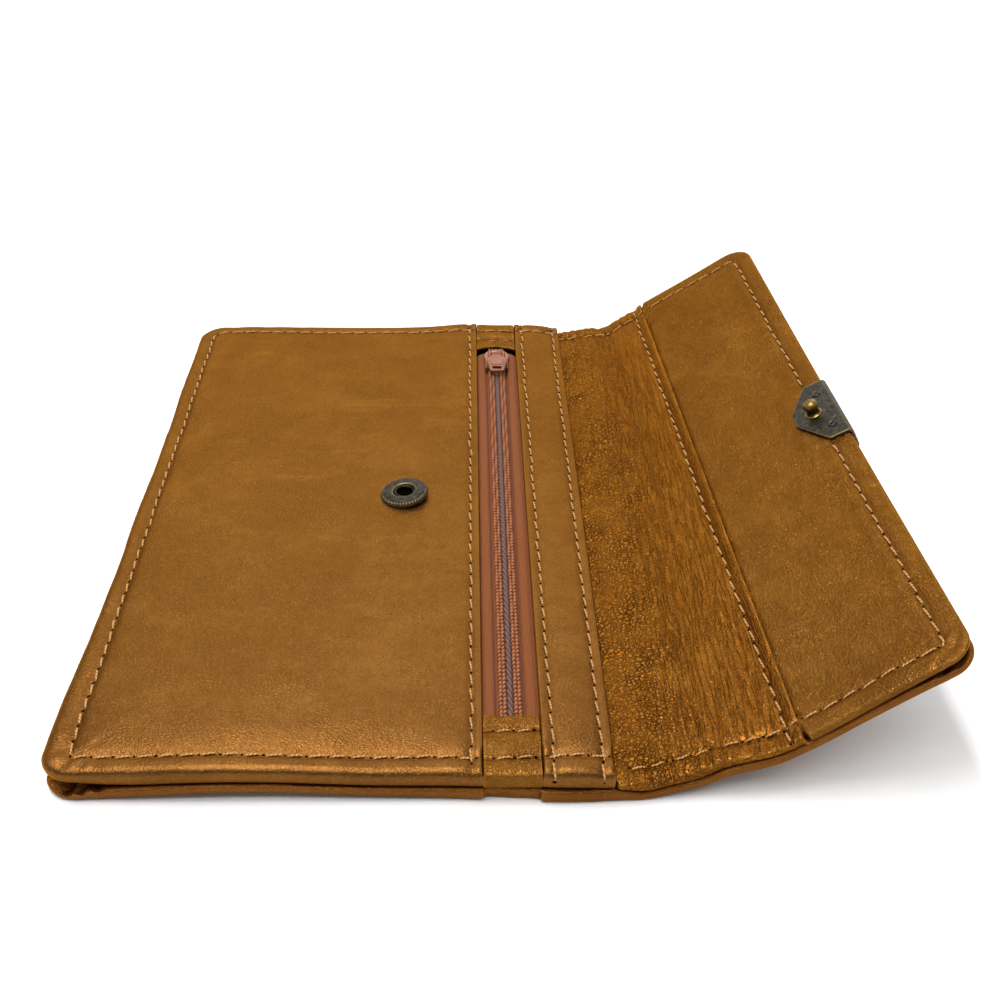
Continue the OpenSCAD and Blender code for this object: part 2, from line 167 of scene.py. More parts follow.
def stations(low, high, step, fine=(), fine_step=0.4, reach=1.6):
    """Places from low to high, closer together near the fine ones."""
    places, here = [low], low
    while here < high:
        near = min((abs(here - place) for place in fine), default=math.inf)
        here += fine_step + min(max(near - reach, 0) * 0.3, step - fine_step)
        places.append(here)
    places = np.array(places)
    return low + (places - low) * (high - low) / (places[-1] - low)


def round_rows(step=1.5, arc_steps=18):
    """Rows along the wallet, following the round corners at both ends."""
    radius = max(BODY_CORNERS)
    turns = np.linspace(0, math.pi / 2, arc_steps + 1)[1:]
    end = HALF - radius + radius * np.sin(turns)
    middle = stations(radius - HALF, HALF - radius, step, (radius - HALF, HALF - radius), 0.6, 3)
    return np.concatenate([-end[::-1], middle, end])


# ---- the fold ------------------------------------------------------------------------------
def crease_coordinates(x, y):
    """Distance past the first crease and place along it, of flat points."""
    dx, dy = x - crease_a[0], y - crease_a[1]
    return dx * SKEW_COS + dy * SKEW_SIN, dy * SKEW_COS - dx * SKEW_SIN


def from_crease(u, v):
    """Flat x and y of a place given by its distance past the first crease and its place along it."""
    return (crease_a[0] + u * SKEW_COS - v * SKEW_SIN,
            crease_a[1] + u * SKEW_SIN + v * SKEW_COS)


def flap_to_flat(s, t):
    """Flat x and y of a place on the flap."""
    return from_crease(SPINE + s * SKEW_COS - t * SKEW_SIN, s * SKEW_SIN + t * SKEW_COS)


def fold(points):
    """Flat points folded at both creases to the CAD's rest pose."""
    u, v = crease_coordinates(points[:, 0], points[:, 1])
    n = points[:, 2] - CREASE_Z
    across, up = u, n
    for crease_u in (SPINE, 0):
        turn = REST_BEND * smooth((u - crease_u + BEND_HALF) / (2 * BEND_HALF))
        ahead = across - crease_u
        across, up = (crease_u + ahead * np.cos(turn) - up * np.sin(turn),
                      ahead * np.sin(turn) + up * np.cos(turn))
    x, y = from_crease(across, v)
    return np.column_stack([x, y, CREASE_Z + up])


def unfold_flap(points):
    """s, t and n of points on the CAD's flap at rest."""
    axis = Vector((-SKEW_SIN, SKEW_COS, 0))
    back = np.array(Matrix.Rotation(2 * REST_BEND, 3, axis))
    rest = (points - crease_b) @ back.T
    turn = 2 * SKEW
    s = rest[:, 0] * math.cos(turn) + rest[:, 1] * math.sin(turn)
    t = rest[:, 1] * math.cos(turn) - rest[:, 0] * math.sin(turn)
    return np.column_stack([s, t, rest[:, 2]])


FLAP_END = unfold_flap(node_points("flap_lining"))[:, 0].max()
POCKET_END = unfold_flap(node_points("flap_pocket"))[:, 0].max()
stud_points = unfold_flap(node_points("clasp_stud"))
STUD_S = (stud_points[:, 0].max() + stud_points[:, 0].min()) / 2
plate_points = unfold_flap(node_points("clasp_plate"))
PLATE_TOP, PLATE_BOTTOM = plate_points[:, 2].max(), plate_points[:, 2].min()
PLATE_HALF = plate_points[:, 1].max()
PLATE_REACH = FLAP_END - plate_points[:, 0].min()
rivet_points = unfold_flap(node_points("clasp_rivets"))
RIVET_T = rivet_points[:, 1].max() - 1.15
RIVET_S = (rivet_points[:, 0].max() + rivet_points[:, 0].min()) / 2


# ---- edges, stitch lines and unevenness, at flat places ------------------------------------
def rounded_inset(along, across, corners):
    """Distance in from a part's side and ends: along is measured from the side, across from the middle."""
    radius = np.where(across < 0, *corners)
    qx, qy = radius - along, np.abs(across) - (HALF - radius)
    arc = radius - np.hypot(np.maximum(qx, 0), np.maximum(qy, 0))
    return np.where((qx > 0) & (qy > 0), arc, np.minimum(along, HALF - np.abs(across)))


def body_inset(x, y):
    """Distance in from the body's left side and ends."""
    return rounded_inset(x - LEFT, y, BODY_CORNERS)


def flap_inset(s, t):
    """Distance in from the flap's far side and ends."""
    return rounded_inset(FLAP_END - s, t, FLAP_CORNERS)


def shell_inset(x, y):
    """Distance in from the shell's edge on the body's side of the fold."""
    return np.where(x > 0, HALF - np.abs(y), body_inset(x, y))


def turned_up(inset, inner, rim):
    """Top of a shell whose edge is turned up to the rim."""
    return inner + (rim - inner) * smooth((HEM + 0.3 - inset) / 0.8)


def turned_under(inset, thin, rim):
    """Underside of a sheet whose edge is turned under, down to the rim."""
    return np.minimum(thin, rim + (thin - rim) * smooth((inset - HEM + 0.3) / 0.8))


def stitch_inset(u):
    """How far in the stitch line runs, from the body over the fold to the flap."""
    return STITCH_IN + (FLAP_STITCH_IN - STITCH_IN) * smooth((u + 4.8) / (SPINE + 8))


def seam(distance, depth=0.42):
    """A row of stitches pulls the leather in along its line."""
    return -depth * bump(distance, 0.75) - 0.22 * bump(distance, 2.2)


def arch(x, y):
    """The edges stand off the table: the front one left of the zip and the rear one by the zip."""
    front = 1.2 * bump(x + 22, 24) * smooth((-y - 40) / 50)
    return front + bump(x - 34, 17) * smooth((y - 76) / 19)


def pinch(x, y):
    """1 where the layers are pressed together at the front edge, left of the zip."""
    return bump(x + 12, 38) * smooth((-y - 83) / 10)


def bed(x, y):
    """How far the layers are raised under the stiffener."""
    return arch(x, y) + PINCH_RISE * pinch(x, y)


def drift(x, y):
    """Unevenness that all layers share."""
    return 0.2 * waves(x, y, 62, 1) + 0.1 * waves(x, y, 21, 2) + arch(x, y)


def puckers(u, v):
    """Creases of the soft leather in the fold: short ones in from the ends and fine ones along the bend."""
    end = HALF - np.abs(v)
    place = smooth((u + 5) / 4) * smooth((POCKET_END + SPINE + 2 - u) / 8)
    ridge = np.abs(np.sin(math.pi * (u / 2.7 + 0.5 * waves(u, v, 17, 5))))
    short = (ridge ** 0.6 - 0.7) * 2 * bump(end - 1, 8) * (0.7 + 0.3 * waves(u, v * 0.3, 5, 8))
    long = waves(u * 2.6, v * 0.45, 6.5, 6) * 0.5 + waves(u * 1.6, v * 0.8, 4.2, 7) * 0.35
    return place * (0.3 * short + 0.17 * long)


def lift(s, t):
    """How far the flap stands off its plane: its outer corners curl up and its front end sags by the fold."""
    outward = smooth((np.abs(t) - 13) / (HALF - 13)) ** 1.2
    rear, front = np.where(t > 0, outward, 0), np.where(t < 0, outward, 0)
    far = smooth((s - 8) / (FLAP_END - 4))
    near = smooth((s - 1) / 14) * (1 - smooth((s - 18) / 34))
    return 4.0 * rear * far + 2.2 * front * far + 0.8 * rear * near - 2.6 * front * near


def corner_gap(x, y):
    """1 at the body's front left corner, where the turned edges stand apart."""
    return bump(np.hypot(x - LEFT - 3, y - FRONT - 2), 8)


def flap_corner_gap(s, t):
    """1 at the flap's front corner, where the turned edges stand apart."""
    return bump(np.hypot(FLAP_END - 3 - s, t + HALF - 3), 8)


def crumple(x, y, place):
    """Sharp small folds at a corner."""
    return place * 0.4 * waves(x * 1.3, y * 1.3, 5, 9)


# ---- heights of the visible surfaces, at flat places ---------------------------------------
def snap_hole(x, y):
    """The left panel's leather dips into the snap, out of sight under its ring."""
    return 2.8 * smooth((4.4 - np.hypot(x - SNAP[0], y - SNAP[1])) / 1.5)


def panel_surface(x, y):
    """Top of the left panel."""
    inset = body_inset(x, y)
    free = PANEL_RIGHT - x
    crown = 0.35 * smooth((inset - STITCH_IN) / 14) * smooth((free - EDGE_STITCH_IN) / 14)
    ring = np.hypot(x - SNAP[0], y - SNAP[1])
    height = PANEL_TOP - 0.1 + crown + drift(x, y) - 0.45 * bump(ring, 7) - snap_hole(x, y)
    height = height + seam(inset - STITCH_IN) + seam(free - EDGE_STITCH_IN, 0.35)
    height = height + 0.1 * waves(x, y, 7, 11) * bump(inset - 2, 4)
    height = height - 0.7 * pinch(x, y)
    return height - 0.3 * bump(inset, 1.2) - 0.15 * bump(free, 0.8) + crumple(x, y, corner_gap(x, y)) * 0.5


def band_surface(x, y):
    """Top of the band over the card slot."""
    end = HALF - np.abs(y)
    left, right = x - BAND_LEFT, BAND_RIGHT - x
    crown = 0.15 * bump((x - BAND_LEFT) / (BAND_RIGHT - BAND_LEFT) - 0.5, 0.35)
    height = PANEL_TOP + 0.05 + drift(x, y) + crown
    height = height + seam(left - EDGE_STITCH_IN, 0.32) + seam(right - EDGE_STITCH_IN, 0.32)
    height = height + seam(end - STITCH_IN, 0.5) - 0.3 * bump(end, 1.1)
    return height - 0.15 * bump(left, 0.7) - 0.15 * bump(right, 0.7) + 0.08 * waves(x, y, 6, 12)


def tab_surface(x, y):
    """Top of the zip's end tabs."""
    end = HALF - np.abs(y)
    height = PANEL_TOP - 0.75 + 0.3 * drift(x, y) + 0.7 * arch(x, y) + 0.1 * waves(x, y, 5, 13)
    height = height + seam(end - STITCH_IN, 0.5) + seam(end - np.where(y < 0, *TAB_STITCH_IN), 0.5)
    return height - 0.3 * bump(end, 1.1) + 0.15 * bump(end - 8, 2.2)


def fold_surface(x, y):
    """Top of the soft leather from under the band over both creases."""
    u, v = crease_coordinates(x, y)
    end = HALF - np.abs(v)
    height = 4.9 + 0.4 * smooth((u + 12) / 9) + 0.6 * drift(x, y) + puckers(u, v)
    past_band = smooth((u + 5.5) / 2)
    height = height + past_band * seam(end - stitch_inset(u), 0.5)
    swell = 0.5 * bump(end - 1.8, 1.5) * past_band * smooth((8 - u) / 8)
    swell = swell + 1.5 * smooth((v - 45) / 45) * past_band * smooth((16 - u) / 8)
    return height + swell - 0.2 * bump(end, 0.9) * past_band


def pocket_surface(s, t):
    """Top of the flap's pocket, as a height above the crease line."""
    edge = POCKET_END - s
    height = fold_surface(*flap_to_flat(s, t)) - CREASE_Z
    height = height - smooth((s - 1) / 5) * 0.85
    return height + 0.6 * bump(edge, 2.2) + seam(edge - POCKET_STITCH_IN, 0.4) - 0.12 * bump(edge, 0.6)


def lining_surface(s, t):
    """Top of the flap's lining, as a height above the crease line."""
    inset = flap_inset(s, t)
    x, y = flap_to_flat(s, t)
    grain = 0.1 * waves(x, y, 9, 14) + 0.07 * waves(x * 0.6, y * 1.6, 4.5, 15)
    hem = 0.55 * (1 - smooth((inset - FLAP_STITCH_IN) / 5))
    height = 2.85 + hem + drift(x, y) + grain * smooth(inset / 6)
    height = height + seam(inset - FLAP_STITCH_IN) - 0.25 * bump(inset, 1.1)
    flat = smooth((15 - np.abs(t)) / 3) * smooth((s - FLAP_END + 14) / 3)
    height = height * (1 - flat) + (PLATE_TOP - PLATE_T - 0.1) * flat
    return height + crumple(x, y, flap_corner_gap(s, t)) * 0.6


# ---- meshes --------------------------------------------------------------------------------
def sheet(xs, ys, top, bottom, roll, corner=(None, None), lean=(0, 0), loops=8):
    """A closed sheet with rolled edges.

    xs and ys are stations out to its outer limits, and top and bottom give heights. roll says how far the
    left, right and end edges bulge, corner gives the (front, rear) radii of the left and right corners, and
    lean the slope of the left and right sides.
    """
    roundness = 2 / 2.6
    roll_left, roll_right, roll_end = roll
    middle, half = (ys[0] + ys[-1]) / 2, (ys[-1] - ys[0]) / 2 - roll_end
    y = middle + (ys - middle) * half / (half + roll_end)
    left, right = xs[0] + roll_left, xs[-1] - roll_right
    columns = left + (xs - xs[0]) * (right - left) / (xs[-1] - xs[0])
    reach = min(30, right - left)
    x = np.repeat(columns[:, None], len(y), 1)
    fade = (np.clip(1 - (columns - left) / reach, 0, 1), np.clip(1 - (right - columns) / reach, 0, 1))
    slopes = []
    for side, (radii, bulge) in enumerate(zip(corner, (roll_left, roll_right))):
        rho = np.where(y < middle, *radii) - bulge if radii else np.ones(len(y))
        q = np.clip(np.abs(y - middle) - (half - rho), 0, rho) if radii else np.zeros(len(y))
        inward = rho - np.sqrt(rho * rho - q * q)
        shift = lean[side] * y + (inward if side == 0 else -inward)
        x = x + fade[side][:, None] * shift[None, :]
        slopes.append(np.sign(y - middle) * q / rho)
    y = np.repeat(y[None, :], len(columns), 0)

    outward = np.zeros((*x.shape, 2))
    for side, (bulge, sign) in enumerate(((roll_left, -1), (roll_right, 1))):
        column = 0 if side == 0 else -1
        outward[column, :, 0] = sign * bulge * np.sqrt(1 - slopes[side] ** 2)
        outward[column, :, 1] = bulge * slopes[side]
    for row, sign in ((0, -1), (-1, 1)):
        first, last = (1 if corner[0] else 0), (-1 if corner[1] else None)
        outward[first:last, row, 1] += sign * roll_end
        for side, bulge in ((0, roll_left), (-1, roll_right)):
            if bulge == 0:
                outward[side, row, 0] = lean[side] * sign * roll_end

    count_x, count_y = x.shape
    high, low = top(x, y), bottom(x, y)
    index = np.arange(count_x * count_y).reshape(count_x, count_y)
    ring = np.concatenate([index[:-1, 0], index[-1, :-1], index[:0:-1, -1], index[0, :0:-1]])
    flat = np.column_stack([x.ravel(), y.ravel()])
    out, high_ring, low_ring = outward.reshape(-1, 2)[ring], high.ravel()[ring], low.ravel()[ring]
    points = [np.column_stack([flat, high.ravel()]), np.column_stack([flat, low.ravel()])]
    rings, total = [ring], 2 * index.size
    for turn in np.linspace(0, math.pi, loops + 1)[1:-1]:
        away = math.sin(turn) ** roundness
        level = math.copysign(abs(math.cos(turn)) ** roundness, math.cos(turn))
        height = (high_ring + low_ring) / 2 + (high_ring - low_ring) / 2 * level
        points.append(np.column_stack([flat[ring] + out * away, height]))
        rings.append(np.arange(total, total + len(ring)))
        total += len(ring)
    rings.append(ring + index.size)

    quads = np.stack([index[:-1, :-1], index[1:, :-1], index[1:, 1:], index[:-1, 1:]], -1).reshape(-1, 4)
    faces = [quads, quads[:, ::-1] + index.size]
    for upper, lower in zip(rings, rings[1:]):
        faces.append(np.stack([upper, lower, np.roll(lower, -1), np.roll(upper, -1)], -1))
    return np.concatenate(points), np.concatenate(faces).tolist()


def lathe(profile, centre, steps=64):
    """Turns a closed loop of (radius, height) points round a vertical line; radius 0 makes a pole."""
    points, rings = [], []
    for radius, height in profile:
        if radius == 0:
            rings.append([len(points)] * steps)
            points.append((centre[0], centre[1], centre[2] + height))
            continue
        rings.append(list(range(len(points), len(points) + steps)))
        for k in range(steps):
            turn = math.tau * k / steps
            points.append((centre[0] + radius * math.cos(turn), centre[1] + radius * math.sin(turn),
                           centre[2] + height))
    closed = profile[0][0] > 0
    faces = []
    for k, ring in enumerate(rings):
        if k == len(rings) - 1 and not closed:
            break
        following = rings[(k + 1) % len(rings)]
        for i in range(steps):
            j = (i + 1) % steps
            face = [ring[i], ring[j], following[j], following[i]]
            face = [v for n, v in enumerate(face) if v != face[n - 1]]
            faces.append(face)
    return np.array(points, float), faces


def softened(corners, radius, steps=5):
    """A closed outline with its corners rounded."""
    outline = []
    for k, corner in enumerate(corners):
        here = Vector(corner)
        before, after = Vector(corners[k - 1]) - here, Vector(corners[(k + 1) % len(corners)]) - here
        reach = min(radius, before.length * 0.45, after.length * 0.45)
        start, end = here + before.normalized() * reach, here + after.normalized() * reach
        for i in range(steps + 1):
            a = i / steps
            outline.append(tuple(start * (1 - a) ** 2 + here * 2 * a * (1 - a) + end * a * a))
    return outline


def plate(outlines, low, high, bevel=0.15):
    """A flat plate with bevelled edges: the first outline is its rim and the others are holes."""
    curve = bpy.data.curves.new("plate", "CURVE")
    curve.dimensions, curve.fill_mode = "2D", "BOTH"
    curve.extrude, curve.bevel_depth, curve.bevel_resolution = (high - low) / 2 - bevel, bevel, 2
    curve.offset = -bevel
    for outline in outlines:
        spline = curve.splines.new("POLY")
        spline.points.add(len(outline) - 1)
        for point, (x, y) in zip(spline.points, outline):
            point.co = (x, y, 0, 1)
        spline.use_cyclic_u = True
    helper = added("plate", curve)
    bpy.context.view_layer.update()
    mesh = bpy.data.meshes.new_from_object(helper.evaluated_get(bpy.context.evaluated_depsgraph_get()))
    shape = bmesh.new()
    shape.from_mesh(mesh)
    bmesh.ops.remove_doubles(shape, verts=shape.verts, dist=1e-4)
    bmesh.ops.recalc_face_normals(shape, faces=shape.faces)
    points = np.array([v.co for v in shape.verts], float)
    points[:, 2] += (high + low) / 2
    faces = [[v.index for v in face.verts] for face in shape.faces]
    shape.free()
    bpy.data.objects.remove(helper)
    bpy.data.curves.remove(curve)
    bpy.data.meshes.remove(mesh)
    return points, faces


def tube_faces(rows, sides, start=0, turned=False):
    """Faces of a closed tube whose rings of points are followed by a point for each end."""
    around = [(i, (i + 1) % sides) for i in range(sides)]
    if turned:
        around = [pair[::-1] for pair in around]
    rings = [start + k * sides for k in range(rows)]
    ends = start + rows * sides
    faces = []
    for here, after in zip(rings, rings[1:]):
        faces += [[here + i, here + j, after + j, after + i] for i, j in around]
    for i, j in around:
        faces += [[ends, start + j, start + i], [ends + 1, rings[-1] + i, rings[-1] + j]]
    return faces


def rod(path, radii, sides=10):
    """A closed tube along 3-D points, with a (side, up) radius at each point."""
    path, radii = np.array(path, float), np.array(radii, float)
    tangent = np.gradient(path, axis=0)
    tangent /= np.linalg.norm(tangent, axis=1)[:, None]
    steepest = np.abs(tangent).max(axis=0)
    guide = np.eye(3)[min((2, 1, 0), key=lambda axis: round(steepest[axis], 3))]
    side = np.cross(tangent, guide)
    side /= np.linalg.norm(side, axis=1)[:, None]
    up = np.cross(side, tangent)
    turns = np.linspace(0, math.tau, sides, endpoint=False)
    rings = (path[:, None] + side[:, None] * np.cos(turns)[None, :, None] * radii[:, 0][:, None, None]
             + up[:, None] * np.sin(turns)[None, :, None] * radii[:, 1][:, None, None])
    points = np.concatenate([rings.reshape(-1, 3), path[:1], path[-1:]])
    return points, tube_faces(len(path), sides, turned=True)


def joined(parts):
    """Several meshes as one."""
    points, faces, start = [], [], 0
    for part_points, part_faces in parts:
        points.append(part_points)
        faces += [[v + start for v in face] for face in part_faces]
        start += len(part_points)
    return np.concatenate(points), faces


def along(path):
    """Distance covered at each point of a path."""
    return np.concatenate([[0], np.cumsum(np.linalg.norm(np.diff(path, axis=0), axis=1))])


def stitch_places(path):
    """Start of each stitch along a path, spread evenly."""
    total = along(path)[-1]
    count = max(int((total - STITCH) / PITCH) + 1, 1)
    return (total - (count - 1) * PITCH - STITCH) / 2 + PITCH * np.arange(count)


def sampled(place, travelled, values):
    """Rows of values along a path, at one distance or at each of several."""
    return np.stack([np.interp(place, travelled, column) for column in values.T], -1)


def upward(path, normals):
    """The path as an array, with the way out at each point, which is up where none is given."""
    path = np.array(path, float)
    return path, np.tile([0, 0, 1.0], (len(path), 1)) if normals is None else np.array(normals, float)


def stitches(path, starts, normals, seed):
    """Separate stitches laid along a path, each arched, slanted and dipping into the leather at its ends."""
    draw = np.random.default_rng(seed)
    path, normals = upward(path, normals)
    travelled = along(path)
    reach = np.array([-1, -0.93, -0.75, -0.4, 0, 0.4, 0.75, 0.93, 1])
    plump = np.sqrt(np.clip(1 - np.abs(reach) ** 3, 0, 1))[1:-1, None, None] * 0.75 + 0.25
    rows, sides = len(reach) - 2, 8
    turns = np.linspace(0, math.tau, sides, endpoint=False) - math.pi / 2
    points, faces, ply, start = [], [], [], 0
    for begin in starts:
        long = STITCH * draw.uniform(0.93, 1.05)
        place = begin + STITCH / 2 + reach * long / 2
        centre, up = sampled(place, travelled, path), sampled(place, travelled, normals)
        up /= np.linalg.norm(up, axis=1)[:, None]
        tangent = np.gradient(centre, axis=0)
        tangent /= np.linalg.norm(tangent, axis=1)[:, None]
        side = np.cross(up, tangent)
        lean = reach * long / 2 * THREAD_SLANT + draw.normal(0, 0.12)
        rise = THREAD_TALL * 0.55 - THREAD_SINK * np.abs(reach) ** 5 + draw.normal(0, 0.02)
        centre = centre + side * lean[:, None] + up * rise[:, None]
        across, over = np.cos(turns)[None, :, None], np.sin(turns)[None, :, None]
        rings = (centre[1:-1, None] + side[1:-1, None] * across * THREAD_WIDE / 2 * plump
                 + up[1:-1, None] * over * THREAD_TALL / 2 * plump)
        points += [rings.reshape(-1, 3), centre[:1], centre[-1:]]
        faces += tube_faces(rows, sides, start)
        spin = draw.uniform(0, 1)
        ply += [(a * long / 2, i / sides, spin) for a in reach[1:-1] for i in range(sides)]
        ply += [(-long / 2, 0, spin), (long / 2, 0, spin)]
        start += rows * sides + 2
    return np.concatenate(points), faces, np.array(ply)


def needle_hole_shades(path, starts, normals, seed):
    """Near-black lenses as painted shade for the needle holes where the thread goes through, one past each
    end of each stitch.
    """
    draw = np.random.default_rng(seed)
    path, normals = upward(path, normals)
    travelled = along(path)
    between = (PITCH - STITCH) / 2
    places = np.concatenate([starts - between, [starts[-1] + STITCH + between]])
    sides = 12
    turns = np.linspace(0, math.tau, sides, endpoint=False)
    parts = []
    for place in places:
        centre, up = sampled(place, travelled, path), sampled(place, travelled, normals)
        ahead = sampled(place + 0.2, travelled, path) - centre
        ahead = ahead / max(np.linalg.norm(ahead), 1e-6)
        side = np.cross(up, ahead)
        wide, long = HOLE_SIZE * draw.uniform(1.1, 1.5), HOLE_SIZE * draw.uniform(0.75, 1.0)
        rim = centre + np.outer(np.cos(turns) * wide, side) + np.outer(np.sin(turns) * long, ahead)
        lens = np.concatenate([rim, [centre + up * 0.16], [centre - up * 0.3]])
        faces = []
        for i in range(sides):
            j = (i + 1) % sides
            faces += [[j, i, sides], [i, j, sides + 1]]
        parts.append((lens, faces))
    return joined(parts)


# ---- materials -----------------------------------------------------------------------------
def linear(colour):
    """Linear colour of an sRGB one given from 0 to 255."""
    return tuple((c / 255 / 12.92 if c <= 10 else ((c / 255 + 0.055) / 1.055) ** 2.4) for c in colour) + (1,)


class Net:
    """A material's node tree, with short calls for the nodes it uses."""

    def __init__(self, name, **constants):
        self.material = bpy.data.materials.new(name)
        self.material.use_nodes = True
        self.tree = self.material.node_tree
        self.tree.nodes.clear()
        self.shader = self.tree.nodes.new("ShaderNodeBsdfPrincipled")
        self.make("ShaderNodeOutputMaterial", {"Surface": self.shader.outputs["BSDF"]})
        for socket, value in constants.items():
            self.shader.inputs[socket.replace("_", " ")].default_value = value

    def make(self, kind, inputs, **settings):
        """A node with its settings, and with its inputs linked or set."""
        made = self.tree.nodes.new(kind)
        for key, value in settings.items():
            setattr(made, key, value)
        for key, value in inputs.items():
            if isinstance(value, bpy.types.NodeSocket):
                self.tree.links.new(value, made.inputs[key])
            else:
                made.inputs[key].default_value = value
        return made

    def node(self, kind, inputs, output=0, **settings):
        return self.make(kind, inputs, **settings).outputs[output]

    def attribute(self, name, output="Vector"):
        return self.node("ShaderNodeAttribute", {}, output, attribute_name=name)

    def axes(self, vector):
        """The X, Y and Z of a vector."""
        made = self.make("ShaderNodeSeparateXYZ", {"Vector": vector})
        return [made.outputs[axis] for axis in "XYZ"]

    def math(self, operation, a, b=0.0):
        return self.node("ShaderNodeMath", {0: a, 1: b}, operation=operation)

    def plus(self, a, b):
        return self.math("ADD", a, b)

    def times(self, a, b):
        return self.math("MULTIPLY", a, b)

    def from_middle(self, value):
        """How far a value between 0 and 1 is from its middle."""
        return self.math("ABSOLUTE", self.math("SUBTRACT", value, 0.5))

    def scaled(self, vector, scale, turn=0.0):
        return self.node("ShaderNodeMapping", {"Vector": vector, "Scale": scale, "Rotation": (0, 0, turn)})

    def noise(self, vector, scale, detail=3.0, roughness=0.55, distortion=0.0):
        inputs = {"Vector": vector, "Scale": scale, "Detail": detail, "Roughness": roughness,
                  "Distortion": distortion}
        return self.node("ShaderNodeTexNoise", inputs, "Fac")

    def cells(self, vector, scale):
        """Distance to the nearest border between cells."""
        return self.node("ShaderNodeTexVoronoi", {"Vector": vector, "Scale": scale}, "Distance",
                         feature="DISTANCE_TO_EDGE")

    def spread(self, value, low, high, to_low=0.0, to_high=1.0):
        return self.node("ShaderNodeMapRange", {0: value, 1: low, 2: high, 3: to_low, 4: to_high},
                         interpolation_type="SMOOTHSTEP")

    def ramp(self, value, stops):
        """Colours from a value, given as places and sRGB colours."""
        made = self.make("ShaderNodeValToRGB", {0: value})
        points = made.color_ramp.elements
        while len(points) < len(stops):
            points.new(0.5)
        for point, (place, colour) in zip(points, stops):
            point.position, point.color = place, linear(colour)
        return made.outputs[0]

    def mix(self, amount, a, b):
        """Colour a, giving way to colour b by an amount."""
        return self.node("ShaderNodeMix", {0: amount, 6: a, 7: b}, 2, data_type="RGBA")

    def bump(self, height, distance, strength=1.0, under=None):
        inputs = {"Height": height, "Distance": distance * MM, "Strength": strength}
        if under is not None:
            inputs["Normal"] = under
        return self.node("ShaderNodeBump", inputs)

    def finish(self, colour, roughness, normal):
        for socket, value in (("Base Color", colour), ("Roughness", roughness), ("Normal", normal)):
            self.tree.links.new(value, self.shader.inputs[socket])
        return self.material


def leather(name, colours, grain, creases, streaks, rough=(0.32, 0.44), soft=False):
    """Metallic goatskin: mottled colour, a fine pebbled grain, soft creases, rubbed streaks, edges lightened
    partly by wear and partly as painted highlight, and grooves darkened as painted shade.

    Soft leather has a coarse grain beside the band that gives way to creases along the fold. Its pebble
    valleys are painted near black as shade, its domes light as painted highlight, and its crease lines darker
    as painted shade.
    """
    net = Net(name, Metallic=0.9, Specular_IOR_Level=0.4, Specular_Tint=linear((255, 206, 140)))
    dark, mid, light = colours
    flat, tone = net.attribute("flat"), net.attribute("tone", "Fac")
    across = net.axes(flat)[0]
    mottle = net.noise(flat, 0.055, 5, 0.6, 0.4)
    cloud = net.noise(flat, 0.35, 4, 0.6)
    speck = net.noise(flat, 1.9, 2, 0.6)
    fine = net.noise(flat, 3.2, 3, 0.6)
    pebble = net.cells(net.scaled(flat, (1.0, 1.15, 1)), 0.95 if soft else 1.25)
    body = net.plus(net.times(mottle, 0.62), net.times(cloud, 0.38))
    colour = net.ramp(body, ((0.1, dark), (0.5, mid), (0.9, light)))
    rubbed = net.noise(net.scaled(flat, (0.02, 0.11, 1), -0.5), 1.0, 6, 0.72, 0.6)
    colour = net.mix(net.times(net.spread(rubbed, 0.56, 0.72), streaks), colour, linear(light))
    mask = net.spread(net.noise(flat, 0.12, 3), 0.35, 0.7, 0.45, 1.0)
    if soft:
        mask = net.times(mask, net.spread(across, 64, 80, 1.3, 0.3))
        # Painted light on the pebbles: near-black valleys as painted shade, light domes as painted highlight.
        pebble_light_and_shade = net.ramp(pebble, ((0.02, (34, 16, 3)), (0.14, mid), (0.4, light)))
        colour = net.mix(net.times(mask, 0.7), colour, pebble_light_and_shade)
    else:
        # Lighter flecks painted in as sparkle, a painted glint; darker flecks as random tone.
        colour = net.mix(net.spread(speck, 0.52, 0.74, 0, 0.5), colour, linear(light))
        colour = net.mix(net.spread(speck, 0.48, 0.28, 0, 0.5), colour, linear(dark))
        pits = net.times(net.spread(pebble, 0.0, 0.12, 1.0, 0.0), mask)
        colour = net.mix(net.times(pits, 0.42 * grain), colour, linear(dark))
    # Convex edges lightened, partly as wear and partly as painted highlight; grooves and stitch lines
    # darkened as painted shade.
    colour = net.mix(net.spread(tone, 0.12, 0.75, 0, 0.55), colour, linear(light))
    colour = net.mix(net.spread(tone, -0.9, -0.15, 0.65, 0), colour, linear(dark))
    wrinkle = net.from_middle(net.noise(net.scaled(flat, (0.5, 0.2, 1), 0.2), 1.3, 5, 0.65, 1.6))
    normal = net.bump(net.spread(wrinkle, 0.0, 0.09, 0, 1), 0.10, 0.6 * creases)
    if soft:
        lines = net.from_middle(net.noise(net.scaled(flat, (0.75, 0.06, 1), 0.03), 1.0, 2.5, 0.55, 0.6))
        lines = net.spread(lines, 0.0, 0.07)
        reach = net.spread(across, 60, 72, 0.2, 1.0)
        # Crease lines darkened as painted shade in the furrows.
        furrow_shade = net.times(net.spread(lines, 0.5, 0.0), reach)
        colour = net.mix(net.times(furrow_shade, 0.5), colour, linear(dark))
        normal = net.bump(net.times(lines, reach), 0.17, 0.8, normal)
    normal = net.bump(net.times(net.spread(pebble, 0.0, 0.3), mask), 0.075 * grain, 0.9, normal)
    normal = net.bump(speck, 0.11, 0.2 if soft else 0.55, normal)
    normal = net.bump(fine, 0.04, 0.15 if soft else 0.4, normal)
    matt = net.plus(net.times(fine, 0.4), net.times(cloud, 0.6))
    return net.finish(colour, net.spread(matt, 0.3, 0.7, *rough), normal)


